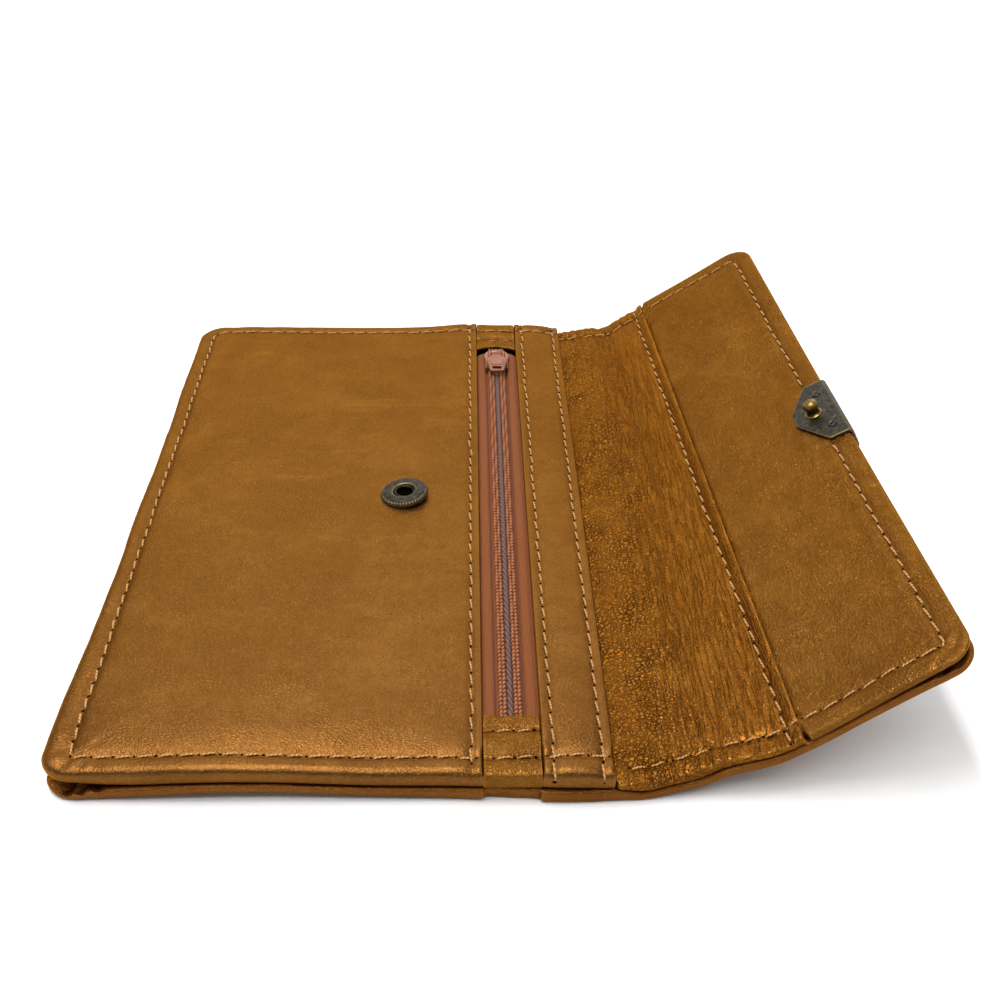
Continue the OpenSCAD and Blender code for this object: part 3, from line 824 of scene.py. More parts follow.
def tape_material():
    """Herringbone weave of the zip's tape."""
    net = Net("Zip_tape_herringbone", Sheen_Weight=0.06, Sheen_Roughness=0.5, Specular_IOR_Level=0.2)
    flat = net.attribute("flat")
    x, y, _ = net.axes(flat)
    zigzag = net.math("PINGPONG", x, 0.65)
    climb = net.times(net.plus(y, net.times(zigzag, 1.2)), 11.0)
    rib = net.spread(net.math("SINE", climb), -0.7, 0.7)
    yarn = net.noise(flat, 5.0, 2, 0.6)
    warp = net.spread(net.math("SINE", net.times(x, 19.0)), -0.8, 0.8)
    weave = net.plus(net.times(rib, 0.7), net.times(warp, 0.3))
    colour = net.ramp(net.plus(net.times(weave, 0.7), net.times(yarn, 0.3)),
                      ((0.15, (70, 30, 10)), (0.55, (126, 66, 24)), (0.9, (164, 96, 44))))
    return net.finish(colour, net.spread(yarn, 0.3, 0.7, 0.7, 0.9), net.bump(weave, 0.12, 0.8))


def thread_material(name, dark, light, twist=7.0, sheen=0.05):
    """Twisted plies of a thread, running round it at a slant."""
    net = Net(name, Sheen_Weight=sheen, Sheen_Roughness=0.4, Specular_IOR_Level=0.3)
    ahead, round_it, start = net.axes(net.attribute("ply"))
    turn = net.times(net.plus(round_it, start), math.tau)
    wave = net.math("SINE", net.plus(net.times(ahead, twist), turn))
    strand = net.spread(wave, -0.9, 0.5)
    fuzz = net.noise(net.attribute("flat"), 4.0, 3, 0.6)
    colour = net.ramp(net.plus(net.times(strand, 0.65), net.times(fuzz, 0.35)), ((0.2, dark), (0.75, light)))
    return net.finish(colour, net.spread(fuzz, 0.3, 0.7, 0.5, 0.68), net.bump(strand, 0.1, 0.7))


def metal_material(name, colours, metallic, rough, pitting=0.5):
    """Metal with a cloudy patina, bright worn edges and small pits."""
    net = Net(name, Metallic=metallic, Specular_IOR_Level=0.5)
    dark, mid, light = colours
    flat, tone = net.attribute("flat"), net.attribute("tone", "Fac")
    cloud = net.noise(flat, 0.9, 5, 0.65, 0.5)
    speck = net.noise(flat, 6.0, 3, 0.6)
    colour = net.ramp(cloud, ((0.35, dark), (0.6, mid), (0.8, light)))
    worn = net.plus(tone, net.times(speck, 0.5))
    colour = net.mix(net.spread(worn, 0.42, 0.8, 0, 0.85), colour, linear(light))
    colour = net.mix(net.spread(tone, -0.8, -0.1, 0.7, 0), colour, linear(dark))
    roughness = net.spread(cloud, 0.3, 0.75, rough[1], rough[0])
    return net.finish(colour, roughness, net.bump(speck, 0.05, pitting))


def plain_material(name, dark, light, scale, rough, metallic=0.0, shine=0.5):
    """Simple mottled finish for the pieces inside."""
    net = Net(name, Metallic=metallic, Specular_IOR_Level=shine)
    place = net.scaled(net.node("ShaderNodeTexCoord", {}, "Object"), (1 / MM, 1 / MM, 1 / MM))
    grain = net.noise(place, scale, 4, 0.6)
    colour = net.ramp(grain, ((0.3, dark), (0.7, light)))
    return net.finish(colour, net.spread(grain, 0.3, 0.7, rough, rough + 0.15), net.bump(grain, 0.05, 0.6))


SMOOTH = ((84, 52, 22), (105, 68, 30), (132, 91, 44))
OUTER = ((88, 52, 22), (112, 69, 29), (141, 92, 41))
GRAINED = ((84, 48, 13), (116, 71, 22), (150, 100, 36))
INNER = ((84, 50, 18), (109, 70, 26), (142, 98, 42))
LEATHER = leather("Gold_leather_smooth", SMOOTH, 0.7, 0.3, 0.5)
LEATHER_SHELL = leather("Gold_leather_shell", OUTER, 0.9, 0.6, 0.2)
LEATHER_SOFT = leather("Gold_leather_grained", GRAINED, 1.8, 0.7, 0.1, (0.2, 0.3), True)
LEATHER_LINING = leather("Gold_leather_lining", INNER, 1.3, 0.8, 0.2, (0.26, 0.38))
# Near black: painted shade for the needle holes and the snap's well.
HOLE_SHADE = plain_material("Hole_painted_shade", (8, 4, 2), (18, 9, 4), 3, 0.9, shine=0.05)
TAPE = tape_material()
CHAIN = thread_material("Zip_chain_stitch", (74, 34, 14), (160, 92, 46), 5.0)
COIL = thread_material("Zip_coil", (58, 38, 34), (104, 72, 62), 6.0)
THREAD = thread_material("Stitch_thread", (142, 94, 44), (194, 146, 84), sheen=0.12)
COPPER = ((80, 40, 25), (105, 56, 37), (144, 86, 58))
SLIDER = metal_material("Painted_copper", COPPER, 0.35, (0.3, 0.46), 0.3)
BRASS = metal_material("Antique_brass", ((30, 26, 18), (56, 50, 38), (112, 96, 66)), 0.9, (0.34, 0.52), 0.9)
STUD = metal_material("Worn_brass", ((40, 30, 12), (104, 84, 40), (150, 124, 66)), 0.95, (0.24, 0.4))
RIVET = metal_material("Dark_rivet", ((10, 9, 8), (26, 24, 22), (70, 68, 64)), 0.9, (0.3, 0.5), 0.6)
STOPS = plain_material("Stop_brass", (70, 58, 36), (110, 92, 58), 1.0, 0.4, 1.0)
STEEL = plain_material("Spring_steel", (34, 31, 26), (60, 55, 46), 1.0, 0.4, 1.0)
BOARD = plain_material("Stiffener_board", (96, 72, 44), (140, 108, 70), 0.8, 0.85)
# The pockets' cloth is dark, and is made near black as painted shade where it shows in the gap behind the
# slider.
CLOTH_PAINTED_SHADE = plain_material("Pocket_cloth_painted_shade", (12, 10, 9), (26, 21, 18), 2.2, 0.9, shine=0.1)


# ---- pieces --------------------------------------------------------------------------------
def added(name, data):
    """A new object of some data, in the scene."""
    made = bpy.data.objects.new(name, data)
    bpy.context.scene.collection.objects.link(made)
    return made


def store(mesh, name, kind, values):
    """Stores a number or a vector at each vertex."""
    field = "value" if kind == "FLOAT" else "vector"
    attribute = mesh.attributes.new(name, kind, "POINT")
    attribute.data.foreach_set(field, np.asarray(values, np.float32).ravel())


def edge_tone(mesh, points, flat):
    """How far each vertex stands out from its neighbours: above 0 on edges, below 0 in grooves.

    It is 0 where two pieces of one leather meet, so that their join doesn't show.
    """
    edges = np.empty(len(mesh.edges) * 2, int)
    mesh.edges.foreach_get("vertices", edges)
    a, b = edges.reshape(-1, 2).T
    normals = np.empty(len(points) * 3)
    mesh.vertex_normals.foreach_get("vector", normals)
    normals = normals.reshape(-1, 3)
    step = points[a] - points[b]
    square = np.maximum((step ** 2).sum(1), 1e-4)
    total, count = np.zeros(len(points)), np.zeros(len(points))
    for here, sign in ((a, 1), (b, -1)):
        np.add.at(total, here, sign * (normals[here] * step).sum(1) / square)
        np.add.at(count, here, 1)
    from_join = np.abs(crease_coordinates(flat[:, 0], flat[:, 1])[0] - SPINE / 2)
    return np.clip(total / np.maximum(count, 1) * 1.6, -1, 1) * smooth(from_join / 1.5 - 0.2)


def spread_edges(flat):
    """Body points with the leather beyond the stitches spread outwards, at the left and front edges."""
    x, y = flat[:, 0], flat[:, 1]
    left = np.clip(1 - (x - LEFT) / STITCH_IN, 0, 1) * (FLARE[0] + FLARE[1] * smooth((-y - 25) / 60))
    shell = smooth((3.9 - flat[:, 2]) / 0.4) * smooth((x - PANEL_RIGHT) * 2) * smooth((BAND_LEFT - x) * 2)
    ahead = (FRONT_FLARE[0] + FRONT_FLARE[1] * bump(x - 46, 20)) * smooth((78 - x) / 20) - 0.9 * shell
    front = np.clip(1 - (y - FRONT) / STITCH_IN, 0, 1) * ahead
    behind = REAR_FLARE * bump(x - ZIP_X, 24) * np.clip(1 - (REAR - y) / 20, 0, 1)
    return np.column_stack([x - left, y - front + behind, flat[:, 2]])


def piece(name, shape, material, rides=None, bends=None, stands_for=(), ply=None, sharp=50, sway=0.0):
    """Folds a flat shape to the rest pose and makes an object that rides on a body, or, for a piece over a
    crease, stays as folded with its transform baked.
    """
    points, faces = shape
    flat = np.array(points, float)
    if sway:
        end = smooth((np.abs(flat[:, 1]) - 60) / (HALF - 60))
        flat[:, 1] += sway * end * waves(flat[:, 0], flat[:, 1] * 0.2, 30, len(name))
        side = smooth((LEFT + 30 - flat[:, 0]) / 30)
        flat[:, 0] += sway * side * waves(flat[:, 0] * 0.2, flat[:, 1], 34, len(name) + 1)
    placed = fold(spread_edges(flat))
    mesh = bpy.data.meshes.new(name)
    mesh.from_pydata((placed * MM).tolist(), [], faces)
    mesh.validate()
    store(mesh, "flat", "FLOAT_VECTOR", flat)
    if ply is not None:
        store(mesh, "ply", "FLOAT_VECTOR", ply)
    mesh.shade_smooth()
    mesh.set_sharp_from_angle(angle=math.radians(sharp))
    mesh.materials.append(material)
    store(mesh, "tone", "FLOAT", edge_tone(mesh, placed, flat))
    made = added(name, mesh)
    if bends == "lower":
        crease_point(-BEND_HALF)
        crease_point(BEND_HALF)
        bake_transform(made)
    elif bends == "upper":
        crease_point(SPINE - BEND_HALF)
        crease_point(SPINE + BEND_HALF)
        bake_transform(made)
    else:
        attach(made, rides)
    if stands_for:
        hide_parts(*stands_for)
    return made


def crease_point(u):
    """Point that far past the first crease on the crease line's level, folded, in metres."""
    x, y = from_crease(u, 0)
    return tuple(fold(np.array([[x, y, CREASE_Z]]))[0] * MM)


def on_flap(shape):
    """A shape given in the flap's s, t and n, moved to flat coordinates."""
    points, faces = shape
    s, t, n = np.array(points, float).T
    x, y = flap_to_flat(s, t)
    return np.column_stack([x, y, CREASE_Z + n + lift(s, t)]), faces


ROWS = round_rows()
SEAM_X = crease_a[0] + SPINE / 2 / SKEW_COS     # both halves of the soft leather meet on this line
SEAM_S = -SPINE / 2 / SKEW_COS


def rim_height(x, y):
    """Top of the shell's turned edge, lower in the fold and the flap."""
    u = crease_coordinates(x, y)[0]
    return SHELL_RIM - (SHELL_RIM - FOLD_RIM) * smooth((u + 8) / 8)


def shell_pieces():
    """Outer shell: one leather from the left edge over both creases to the flap's end."""
    def lower_top(x, y):
        inset, gap = shell_inset(x, y), corner_gap(x, y)
        rim = rim_height(x, y) + 0.5 * drift(x, y) + 0.5 * arch(x, y) - 1.5 * gap
        rim = rim + 2.4 * crumple(x, y, gap)
        rim = rim - 0.25 * bump(inset, 1.0) + 0.12 * waves(x, y, 8, 21) * bump(inset, 3)
        return turned_up(inset, SHELL_INSIDE + bed(x, y), rim)

    def lower_bottom(x, y):
        inset, u = shell_inset(x, y), crease_coordinates(x, y)[0]
        return 0.3 * bump(inset - stitch_inset(u), 0.7) + 0.15 * bump(inset, 1.1) + bed(x, y)

    fine = (LEFT, LEFT + STITCH_IN, LEFT + HEM, PANEL_RIGHT, BAND_LEFT, crease_a[0])
    xs = stations(LEFT, SEAM_X, 1.6, fine, 0.5, 1.2)
    shape = sheet(xs, ROWS, lower_top, lower_bottom, (ROLL_MID, 0, ROLL_MID), (BODY_CORNERS, None),
                  (0, -SKEW_TAN))
    piece("shell_body_leather", shape, LEATHER_SHELL, bends="lower",
          stands_for=("shell_body", "shell_spine"), sway=0.3)

    def upper_top(s, t):
        inset, gap = flap_inset(s, t), flap_corner_gap(s, t)
        x, y = flap_to_flat(s, t)
        rim = FLAP_RIM + 0.6 * drift(x, y) - 0.7 * gap + crumple(x, y, gap) - 0.2 * bump(inset, 1.0)
        rim = rim + 0.1 * waves(x, y, 8, 21) * bump(inset, 3)
        return turned_up(inset, FLAP_INSIDE + drift(x, y) * 0.6 * smooth(s / 10), rim)

    def upper_bottom(s, t):
        inset, even = flap_inset(s, t), smooth(s / 6)
        x, y = flap_to_flat(s, t)
        groove = 0.4 * bump(inset - FLAP_STITCH_IN, 0.8) * even
        fold_groove = 0.3 * bump(HALF - np.abs(t) - stitch_inset(crease_coordinates(x, y)[0]), 0.7)
        height = -CREASE_Z + groove + fold_groove * (1 - even)
        return height + 0.6 * even * drift(x, y) + 0.15 * bump(inset, 1.0)

    ss = stations(SEAM_S, FLAP_END, 1.6, (0, FLAP_END, FLAP_END - FLAP_STITCH_IN, FLAP_END - HEM), 0.5, 1.2)
    shape = sheet(ss, ROWS, upper_top, upper_bottom, (0, ROLL_MID, ROLL_MID), (None, FLAP_CORNERS),
                  (SKEW_TAN, 0))
    piece("shell_flap_leather", on_flap(shape), LEATHER_SHELL, bends="upper",
          stands_for=("shell_flap",), sway=0.3)


def panel_pieces():
    """Left panel, the band over the card slot and the zip's two end tabs."""
    def hemmed(inset, x, y, thickness):
        rim = RIM_LOW + 0.5 * drift(x, y) + 0.5 * arch(x, y) + 1.1 * corner_gap(x, y)
        return turned_under(inset, PANEL_TOP - thickness, rim) - snap_hole(x, y)

    def from_end(y):
        return HALF - np.abs(y)

    xs = stations(LEFT, PANEL_RIGHT, 1.5, (LEFT, LEFT + STITCH_IN, PANEL_RIGHT, PANEL_RIGHT - EDGE_STITCH_IN))
    shape = sheet(xs, ROWS, panel_surface, lambda x, y: hemmed(body_inset(x, y), x, y, PANEL_T),
                  (ROLL_TALL, ROLL_THIN, ROLL_TALL), (BODY_CORNERS, None))
    piece("left_panel_leather", shape, LEATHER, "body", stands_for=("left_panel",),
          sway=0.25)

    ys = stations(FRONT, REAR, 1.5, (FRONT, FRONT + STITCH_IN, REAR, REAR - STITCH_IN), 0.4)
    fine = (BAND_LEFT, BAND_LEFT + EDGE_STITCH_IN, BAND_RIGHT, BAND_RIGHT - EDGE_STITCH_IN)
    xs = stations(BAND_LEFT, BAND_RIGHT, 1.0, fine, 0.35, 1.2)
    shape = sheet(xs, ys, band_surface, lambda x, y: hemmed(from_end(y), x, y, BAND_T),
                  (ROLL_THIN, ROLL_THIN, ROLL_TALL))
    piece("slot_band_leather", shape, LEATHER, "body", stands_for=("slot_band",), sway=0.2)

    xs = stations(PANEL_RIGHT + 0.02, BAND_LEFT - 0.02, 0.6)
    for name, sign in (("front", -1), ("rear", 1)):
        outer, inner = sign * HALF, sign * abs(TAB_END)
        fine = (outer, outer - sign * STITCH_IN, outer - sign * TAB_STITCH_IN[sign > 0])
        ys = stations(min(outer, inner), max(outer, inner), 0.8, fine, 0.35, 1)
        points, faces = sheet(xs, ys, tab_surface, lambda x, y: hemmed(from_end(y), x, y, TAB_T),
                              (0.15, 0.15, 0.6))
        if name == "rear":
            cut = 0.9 + 2.0 * (1 - ((points[:, 0] - ZIP_X) / 6.8) ** 2)
            points[:, 1] += cut * np.clip((REAR - 4 - points[:, 1]) / (REAR - 4 - inner), 0, 1)
        piece(f"zip_tab_{name}_leather", (points, faces), LEATHER_LINING, "body",
              stands_for=(f"zip_tab_{name}",), sway=0.2)


def fold_pieces():
    """Soft leather that starts under the band and ends as the flap's pocket."""
    def lower_bottom(x, y):
        rim = rim_height(x, y) + 0.35 + 0.5 * drift(x, y)
        return turned_under(HALF - np.abs(y), fold_surface(x, y) - SOFT_T, rim)

    xs = stations(BAND_LEFT + 2, SEAM_X, 0.5, (BAND_RIGHT, SEAM_X), 0.4, 4)
    points, faces = sheet(xs, ROWS, fold_surface, lower_bottom, (0.4, 0, ROLL_MID), lean=(0, -SKEW_TAN))
    tucked = 2.2 * (1 - smooth((crease_coordinates(points[:, 0], 0)[0] + 5.6) / 2))
    points[:, 1] *= 1 - tucked / HALF
    piece("card_slot_leather", (points, faces), LEATHER_SOFT, bends="lower",
          stands_for=("card_slot_floor", "pocket_spine"), sway=0.2)

    def upper_bottom(s, t):
        x, y = flap_to_flat(s, t)
        rim = rim_height(x, y) - CREASE_Z + 0.35 + 0.5 * drift(x, y)
        return turned_under(HALF - np.abs(t), pocket_surface(s, t) - SOFT_T, rim)

    ss = stations(SEAM_S, POCKET_END, 0.5, (SEAM_S, POCKET_END, POCKET_END - POCKET_STITCH_IN), 0.45, 2)
    shape = sheet(ss, ROWS, pocket_surface, upper_bottom, (0, 0.55, ROLL_MID), lean=(SKEW_TAN, 0))
    piece("flap_pocket_leather", on_flap(shape), LEATHER_SOFT, bends="upper",
          stands_for=("flap_pocket",), sway=0.2)


def flap_lining():
    """The flap's lining, which starts under the pocket's edge."""
    def top(s, t):
        return lining_surface(s, t) - 0.5 * smooth((POCKET_END + 1 - s) / 2)

    def under(s, t):
        rim = 1.15 + 0.6 * drift(*flap_to_flat(s, t)) + 0.9 * flap_corner_gap(s, t)
        return turned_under(flap_inset(s, t), lining_surface(s, t) - LINING_T, rim)

    fine = (POCKET_END, FLAP_END, FLAP_END - FLAP_STITCH_IN)
    ss = stations(POCKET_END - 2.5, FLAP_END, 1.1, fine, 0.45, 1.4)
    points, faces = sheet(ss, ROWS, top, under, (0.3, ROLL_MID, ROLL_MID), (None, FLAP_CORNERS))
    points[:, 1] *= 1 - 2.0 * (1 - smooth((points[:, 0] - POCKET_END) / 1.2)) / HALF
    piece("flap_lining_leather", on_flap((points, faces)), LEATHER_LINING, "flap",
          stands_for=("flap_lining",), sway=0.25)


def boards():
    """The stiffeners inside the body and inside the flap."""
    def flap_drift(s, t):
        return 0.6 * drift(*flap_to_flat(s, t))

    inside = HEM + 1
    rows = stations(inside - HALF, HALF - inside, 2)
    columns = stations(LEFT + inside, PANEL_RIGHT + 24, 2)
    board = sheet(columns, rows, lambda x, y: 2.3 + bed(x, y), lambda x, y: 1.45 + bed(x, y), (0.2, 0.2, 0.2))
    piece("body_board", board, BOARD, "body", stands_for=("body_stiffener",))
    columns = stations(8, FLAP_END - inside, 2)
    board = sheet(columns, rows, lambda s, t: 0.6 + flap_drift(s, t), flap_drift, (0.2, 0.2, 0.2))
    piece("flap_board", on_flap(board), BOARD, "flap", stands_for=("flap_stiffener",))


# ---- stitching -----------------------------------------------------------------------------
def line(start, end, step=0.8):
    """Evenly spaced places between two plan points."""
    count = max(int(math.dist(start, end) / step), 2)
    return [tuple(np.array(start) + (np.array(end) - np.array(start)) * k / count) for k in range(count + 1)]


def round_line(side, inset, begin, corners, sign=1):
    """Stitch line round three sides of a part: from begin along the front, round both corners and back.

    side is the outer side's place across and sign says on which side of it the part lies.
    """
    x, y = side + sign * inset, HALF - inset
    front, rear = [
        line((begin, -y), (x + sign * radius, -y)) +
        [(x + sign * radius * (1 - math.sin(a)), -y + radius * (1 - math.cos(a)))
         for a in np.linspace(0.1, math.pi / 2, 9)]
        for radius in (corner - inset for corner in corners)]
    back = [(px, -py) for px, py in rear[::-1]]
    return front + line(front[-1], back[0])[1:-1] + back


def raised(path, surface, rise=0.0):
    """Plan points with the height of a surface below them."""
    plan = np.array(path, float)
    return np.column_stack([plan, surface(plan[:, 0], plan[:, 1]) + rise])


def wrapped(x, surface, sign, low=RIM_LOW, roll=ROLL_TALL):
    """Path over a part's end: along the top and down its turned edge, with the way out at each point."""
    edge = sign * HALF
    top = surface(np.array([x]), np.array([edge - sign * roll]))[0]
    inside = (edge - sign * (roll + k) for k in (1.2, 0.6))
    path = [(x, y, surface(np.array([x]), np.array([y]))[0]) for y in inside]
    normals = [(0, 0, 1)] * 2
    middle, tall = (top + low) / 2, (top - low) / 2
    for turn in np.linspace(0, 0.66 * math.pi, 12):
        away = roll * math.sin(turn) ** 0.77
        level = math.copysign(abs(math.cos(turn)) ** 0.77, math.cos(turn))
        path.append((x, edge - sign * (roll - away), middle + tall * level))
        out = Vector((0, sign * math.sin(turn), math.cos(turn) * 0.8)).normalized()
        normals.append(tuple(out))
    return path, normals


def sew(name, paths, seed, rides=None, bends=None, stands_for=(), flap=False):
    """Makes the stitches, and near-black lenses painted as shade for the needle holes, along some paths.

    Each path is a list of 3-D points, or a pair of such a list and its normals.
    """
    thread, holes, plies = [], [], []
    for k, path in enumerate(paths):
        path, normals = path if isinstance(path, tuple) else (path, None)
        starts = stitch_places(path)
        points, faces, ply = stitches(path, starts, normals, seed + k)
        thread.append((points, faces))
        plies.append(ply)
        holes.append(needle_hole_shades(path, starts, normals, seed + k + 50))
    shapes = joined(thread), joined(holes)
    if flap:
        shapes = on_flap(shapes[0]), on_flap(shapes[1])
    piece(name, shapes[0], THREAD, rides, bends, stands_for, np.concatenate(plies), 80)
    # Near-black lenses as painted shade in the needle holes.
    piece(f"{name}_holes", shapes[1], HOLE_SHADE, rides, bends, sharp=80)


def over_ends(x, surface, **edge):
    """Path along a free edge and over both its ends."""
    front, front_out = wrapped(x, surface, -1, **edge)
    rear, rear_out = wrapped(x, surface, 1, **edge)
    middle = raised(line((x, front[0][1]), (x, rear[0][1])), surface)[1:-1].tolist()
    return front[::-1] + middle + rear, front_out[::-1] + [(0, 0, 1)] * len(middle) + rear_out


def body_stitching():
    """The stitches round the body, along the panel's free edge, and on the band and the tabs."""
    perimeter = raised(round_line(LEFT, STITCH_IN, PANEL_RIGHT - 0.6, BODY_CORNERS), panel_surface)
    sew("perimeter_stitches", [perimeter], stands_for=("body_perimeter_thread",), rides="body", seed=11)
    x = PANEL_RIGHT - EDGE_STITCH_IN
    edge = raised(line((x, FRONT + 1.2), (x, REAR - 1.2)), panel_surface)
    sew("panel_edge_stitches", [edge], stands_for=("panel_edge_thread",), rides="body", seed=21)

    paths = [over_ends(x, band_surface) for x in (BAND_LEFT + EDGE_STITCH_IN, BAND_RIGHT - EDGE_STITCH_IN)]
    for side in (-1, 1):
        y = side * (HALF - STITCH_IN)
        paths.append(raised(line((BAND_LEFT + 0.3, y), (BAND_RIGHT - 0.3, y)), band_surface))
    sew("band_stitches", paths, stands_for=("band_threads",), rides="body", seed=31)

    paths = []
    for side in (-1, 1):
        for inset in (STITCH_IN, TAB_STITCH_IN[side > 0]):
            y = side * (HALF - inset)
            paths.append(raised(line((PANEL_RIGHT + 1.4, y), (BAND_LEFT - 0.5, y + 0.3)), tab_surface))
    sew("tab_stitches", paths, stands_for=("tab_threads",), rides="body", seed=41)


def fold_stitching():
    """Rows along both ends over the fold, split where the leather is split."""
    def row(side, u0, u1):
        places = np.linspace(u0, u1, 24)
        v = side * (HALF - stitch_inset(places))
        x, y = from_crease(places, v)
        return np.column_stack([x, y, fold_surface(x, y)])

    lower, upper = [], []
    for side in (-1, 1):
        lower.append(row(side, BAND_RIGHT - crease_a[0] + 0.4, SPINE / 2 - 0.2))
        upper.append(row(side, SPINE / 2 + 0.2, SPINE + 3.4))
    sew("spine_stitches", lower, stands_for=("spine_threads",), bends="lower", seed=51)
    sew("crease_stitches", upper, bends="upper", seed=61)


def flap_stitching():
    """The stitches round the pocket in the flap and round the flap itself, clear of the clasp."""
    y = HALF - FLAP_STITCH_IN
    begin = 3.6
    pocket_rows = [raised(line((begin, side * y), (POCKET_END + 0.3, side * y)), pocket_surface)
                   for side in (-1, 1)]
    pocket_rows.append(over_ends(POCKET_END - POCKET_STITCH_IN, pocket_surface, low=1.2, roll=ROLL_MID))
    sew("flap_pocket_stitches", pocket_rows, flap=True, stands_for=("flap_pocket_thread",), bends="upper",
        seed=71)

    whole = round_line(FLAP_END, FLAP_STITCH_IN, POCKET_END + 0.6, FLAP_CORNERS, -1)
    clear = PLATE_HALF + 0.6
    front = [p for p in whole if p[1] < -clear]
    rear = [p for p in whole if p[1] > clear]
    rows = [raised(front, lining_surface), raised(rear, lining_surface)]
    sew("flap_stitches", rows, flap=True, stands_for=("flap_perimeter_thread",), rides="flap", seed=81)


# ---- zip -----------------------------------------------------------------------------------
def zip_pieces():
    """Both tapes, the stitched cords beside the coil and the coil's own ribs."""
    (_, front, tape_low), (_, rear, _) = box("zip_tape_left")
    chain_top = box("zip_coil_left")[1][2]

    def tape_top(x, y):
        away = np.abs(x - ZIP_X)
        ridge = 0.05 * np.cos(math.tau * away / 1.3)
        hump = 0.45 * bump(away - 4.6, 1.2) - 0.75 * bump(away - 2.95, 0.32)
        return tape_low + 0.55 + 0.1 * waves(x, y, 24, 31) + hump + ridge

    for name, sign in (("left", -1), ("right", 1)):
        inner, outer = sorted((ZIP_X + sign * 0.75, ZIP_X + sign * 9.5))
        points, faces = sheet(stations(inner, outer, 0.2), stations(front, rear, 1.2), tape_top,
                              lambda x, y: tape_top(x, y) - 0.5, (0.12, 0.12, 0.12), loops=4)
        # The tapes end short in an arc before the rear tab, so the near-black pocket cloth shows there as
        # painted shade.
        short = rear - 78.0 - 3.0 * (1 - ((points[:, 0] - ZIP_X) / 6.5) ** 2)
        points[:, 1] -= short * smooth((points[:, 1] - 60) / (rear - 60))
        piece(f"zip_tape_{name}_cloth", (points, faces), TAPE, "body",
              stands_for=(f"zip_tape_{name}",))

    reach, sides, bead = abs(TAB_END) + 2, 10, 1.5
    count = int(2 * reach / 0.22)
    ys = np.linspace(-reach, reach, count)
    for name, sign in (("left", -1), ("right", 1)):
        parts, plies = [], []
        for column, offset in enumerate((1.18, 2.02)):
            wave = 0.5 + 0.5 * np.cos(math.tau * ys / bead + column * math.pi)
            across, level = np.full(count, ZIP_X + sign * offset), np.full(count, chain_top - 0.95)
            path = np.column_stack([across, ys, level])
            parts.append(rod(path, np.column_stack([0.40 + 0.10 * wave, 0.62 + 0.2 * wave]), sides))
            ahead = np.append(np.repeat(ys, sides), [ys[0], ys[-1]])
            turns = np.append(np.tile(np.arange(sides) / sides, count), [0, 0])
            plies.append(np.column_stack([ahead, turns, np.zeros(len(turns))]))
        piece(f"zip_chain_{name}", joined(parts), CHAIN, "body",
              stands_for=(f"zip_coil_{name}",), ply=np.concatenate(plies), sharp=80)

    ribs = []
    for side in (-1, 1):
        for start in np.arange(0.4, 2 * reach - 1.2, 0.62):
            y = start + 0.5 - reach
            a = np.array((ZIP_X + side * 0.02, y - 0.16, chain_top - 0.72))
            b = np.array((ZIP_X + side * 0.78, y + 0.22, chain_top - 0.9))
            ribs.append(rod([a, (a + b) / 2 + [0, 0, 0.1], b], [(0.12, 0.16), (0.27, 0.3), (0.12, 0.16)], 6))
    middle = [(ZIP_X, y, chain_top - 0.75) for y in np.linspace(-reach, reach, 301)]
    points, faces = joined([*ribs, rod(middle, [(0.62, 0.45)] * len(middle), 8)])
    ply = np.column_stack([points[:, 1] * 0.5, points[:, 0], np.zeros(len(points))])
    piece("zip_coil_ribs", (points, faces), COIL, "body", ply=ply, sharp=80)


def upright(shape, place, angle):
    """A flat shape turned about the X axis by an angle in degrees, and moved to a place."""
    points, faces = shape
    turn = math.radians(angle)
    x, y, z = points.T
    turned = [x, y * math.cos(turn) - z * math.sin(turn), y * math.sin(turn) + z * math.cos(turn)]
    return np.column_stack(turned) + place, faces


def slider():
    """The slider's two plates, the walls and post between them, and the bridge that holds the pull's pin."""
    (_, front, low), (_, back, _) = box("zip_slider")
    x, middle = ZIP_X, (front + back) / 2
    pin_y, pin_z = pull_pin[1:]
    plate_low, plate_high, wall_z = 8.05, 8.85, 7.4
    side = [(4.0, back - 2.6), (3.2, middle - 1.2), (2.5, front + 0.6)]
    crown = [(x - 4.0, back - 2.6), (x - 3.3, back - 0.9), (x, back), (x + 3.3, back - 0.9)]
    crown += [(x + across, y) for across, y in side] + [(x, front)]
    crown += [(x - across, y) for across, y in side[:0:-1]]
    upper = plate([softened(crown, 1.2)], plate_low, plate_high, 0.25)
    upper[0][:, 2] -= 0.035 * (upper[0][:, 0] - x) ** 2
    lower = plate([softened(crown, 1.2)], low, low + 0.75, 0.2)
    walls, lugs = [], []
    for sign in (-1, 1):
        path = [(x + sign * 3.35, back - 2.4, wall_z), (x + sign * 3.3, middle, wall_z),
                (x + sign * 3.1, front + 2, wall_z)]
        walls.append(rod(path, [(0.4, 0.75)] * len(path), 12))
        bow = [(2.1, -1.5, plate_high - 0.3), (2.12, -1.0, pin_z - 0.25), (2.12, 0, pin_z + 0.2),
               (2.12, 1.0, pin_z - 0.25), (2.1, 1.5, plate_high - 0.3)]
        lugs.append(rod([(x + sign * a, pin_y + b, c) for a, b, c in bow], [(0.42, 0.5)] * len(bow), 12))
    post = rod([(x, back - 4.6, low + 0.4), (x, back - 4.6, plate_low + 0.3)], [(0.25, 1.4)] * 2, 12)
    pin = rod([(x + a, pin_y, pin_z) for a in (-2.3, 0, 2.3)], [(0.42, 0.42)] * 3, 14)
    piece("zip_slider_body", joined([upper, lower, *walls, post, *lugs, pin]), SLIDER,
          "slider", stands_for=("zip_slider",), sharp=40)


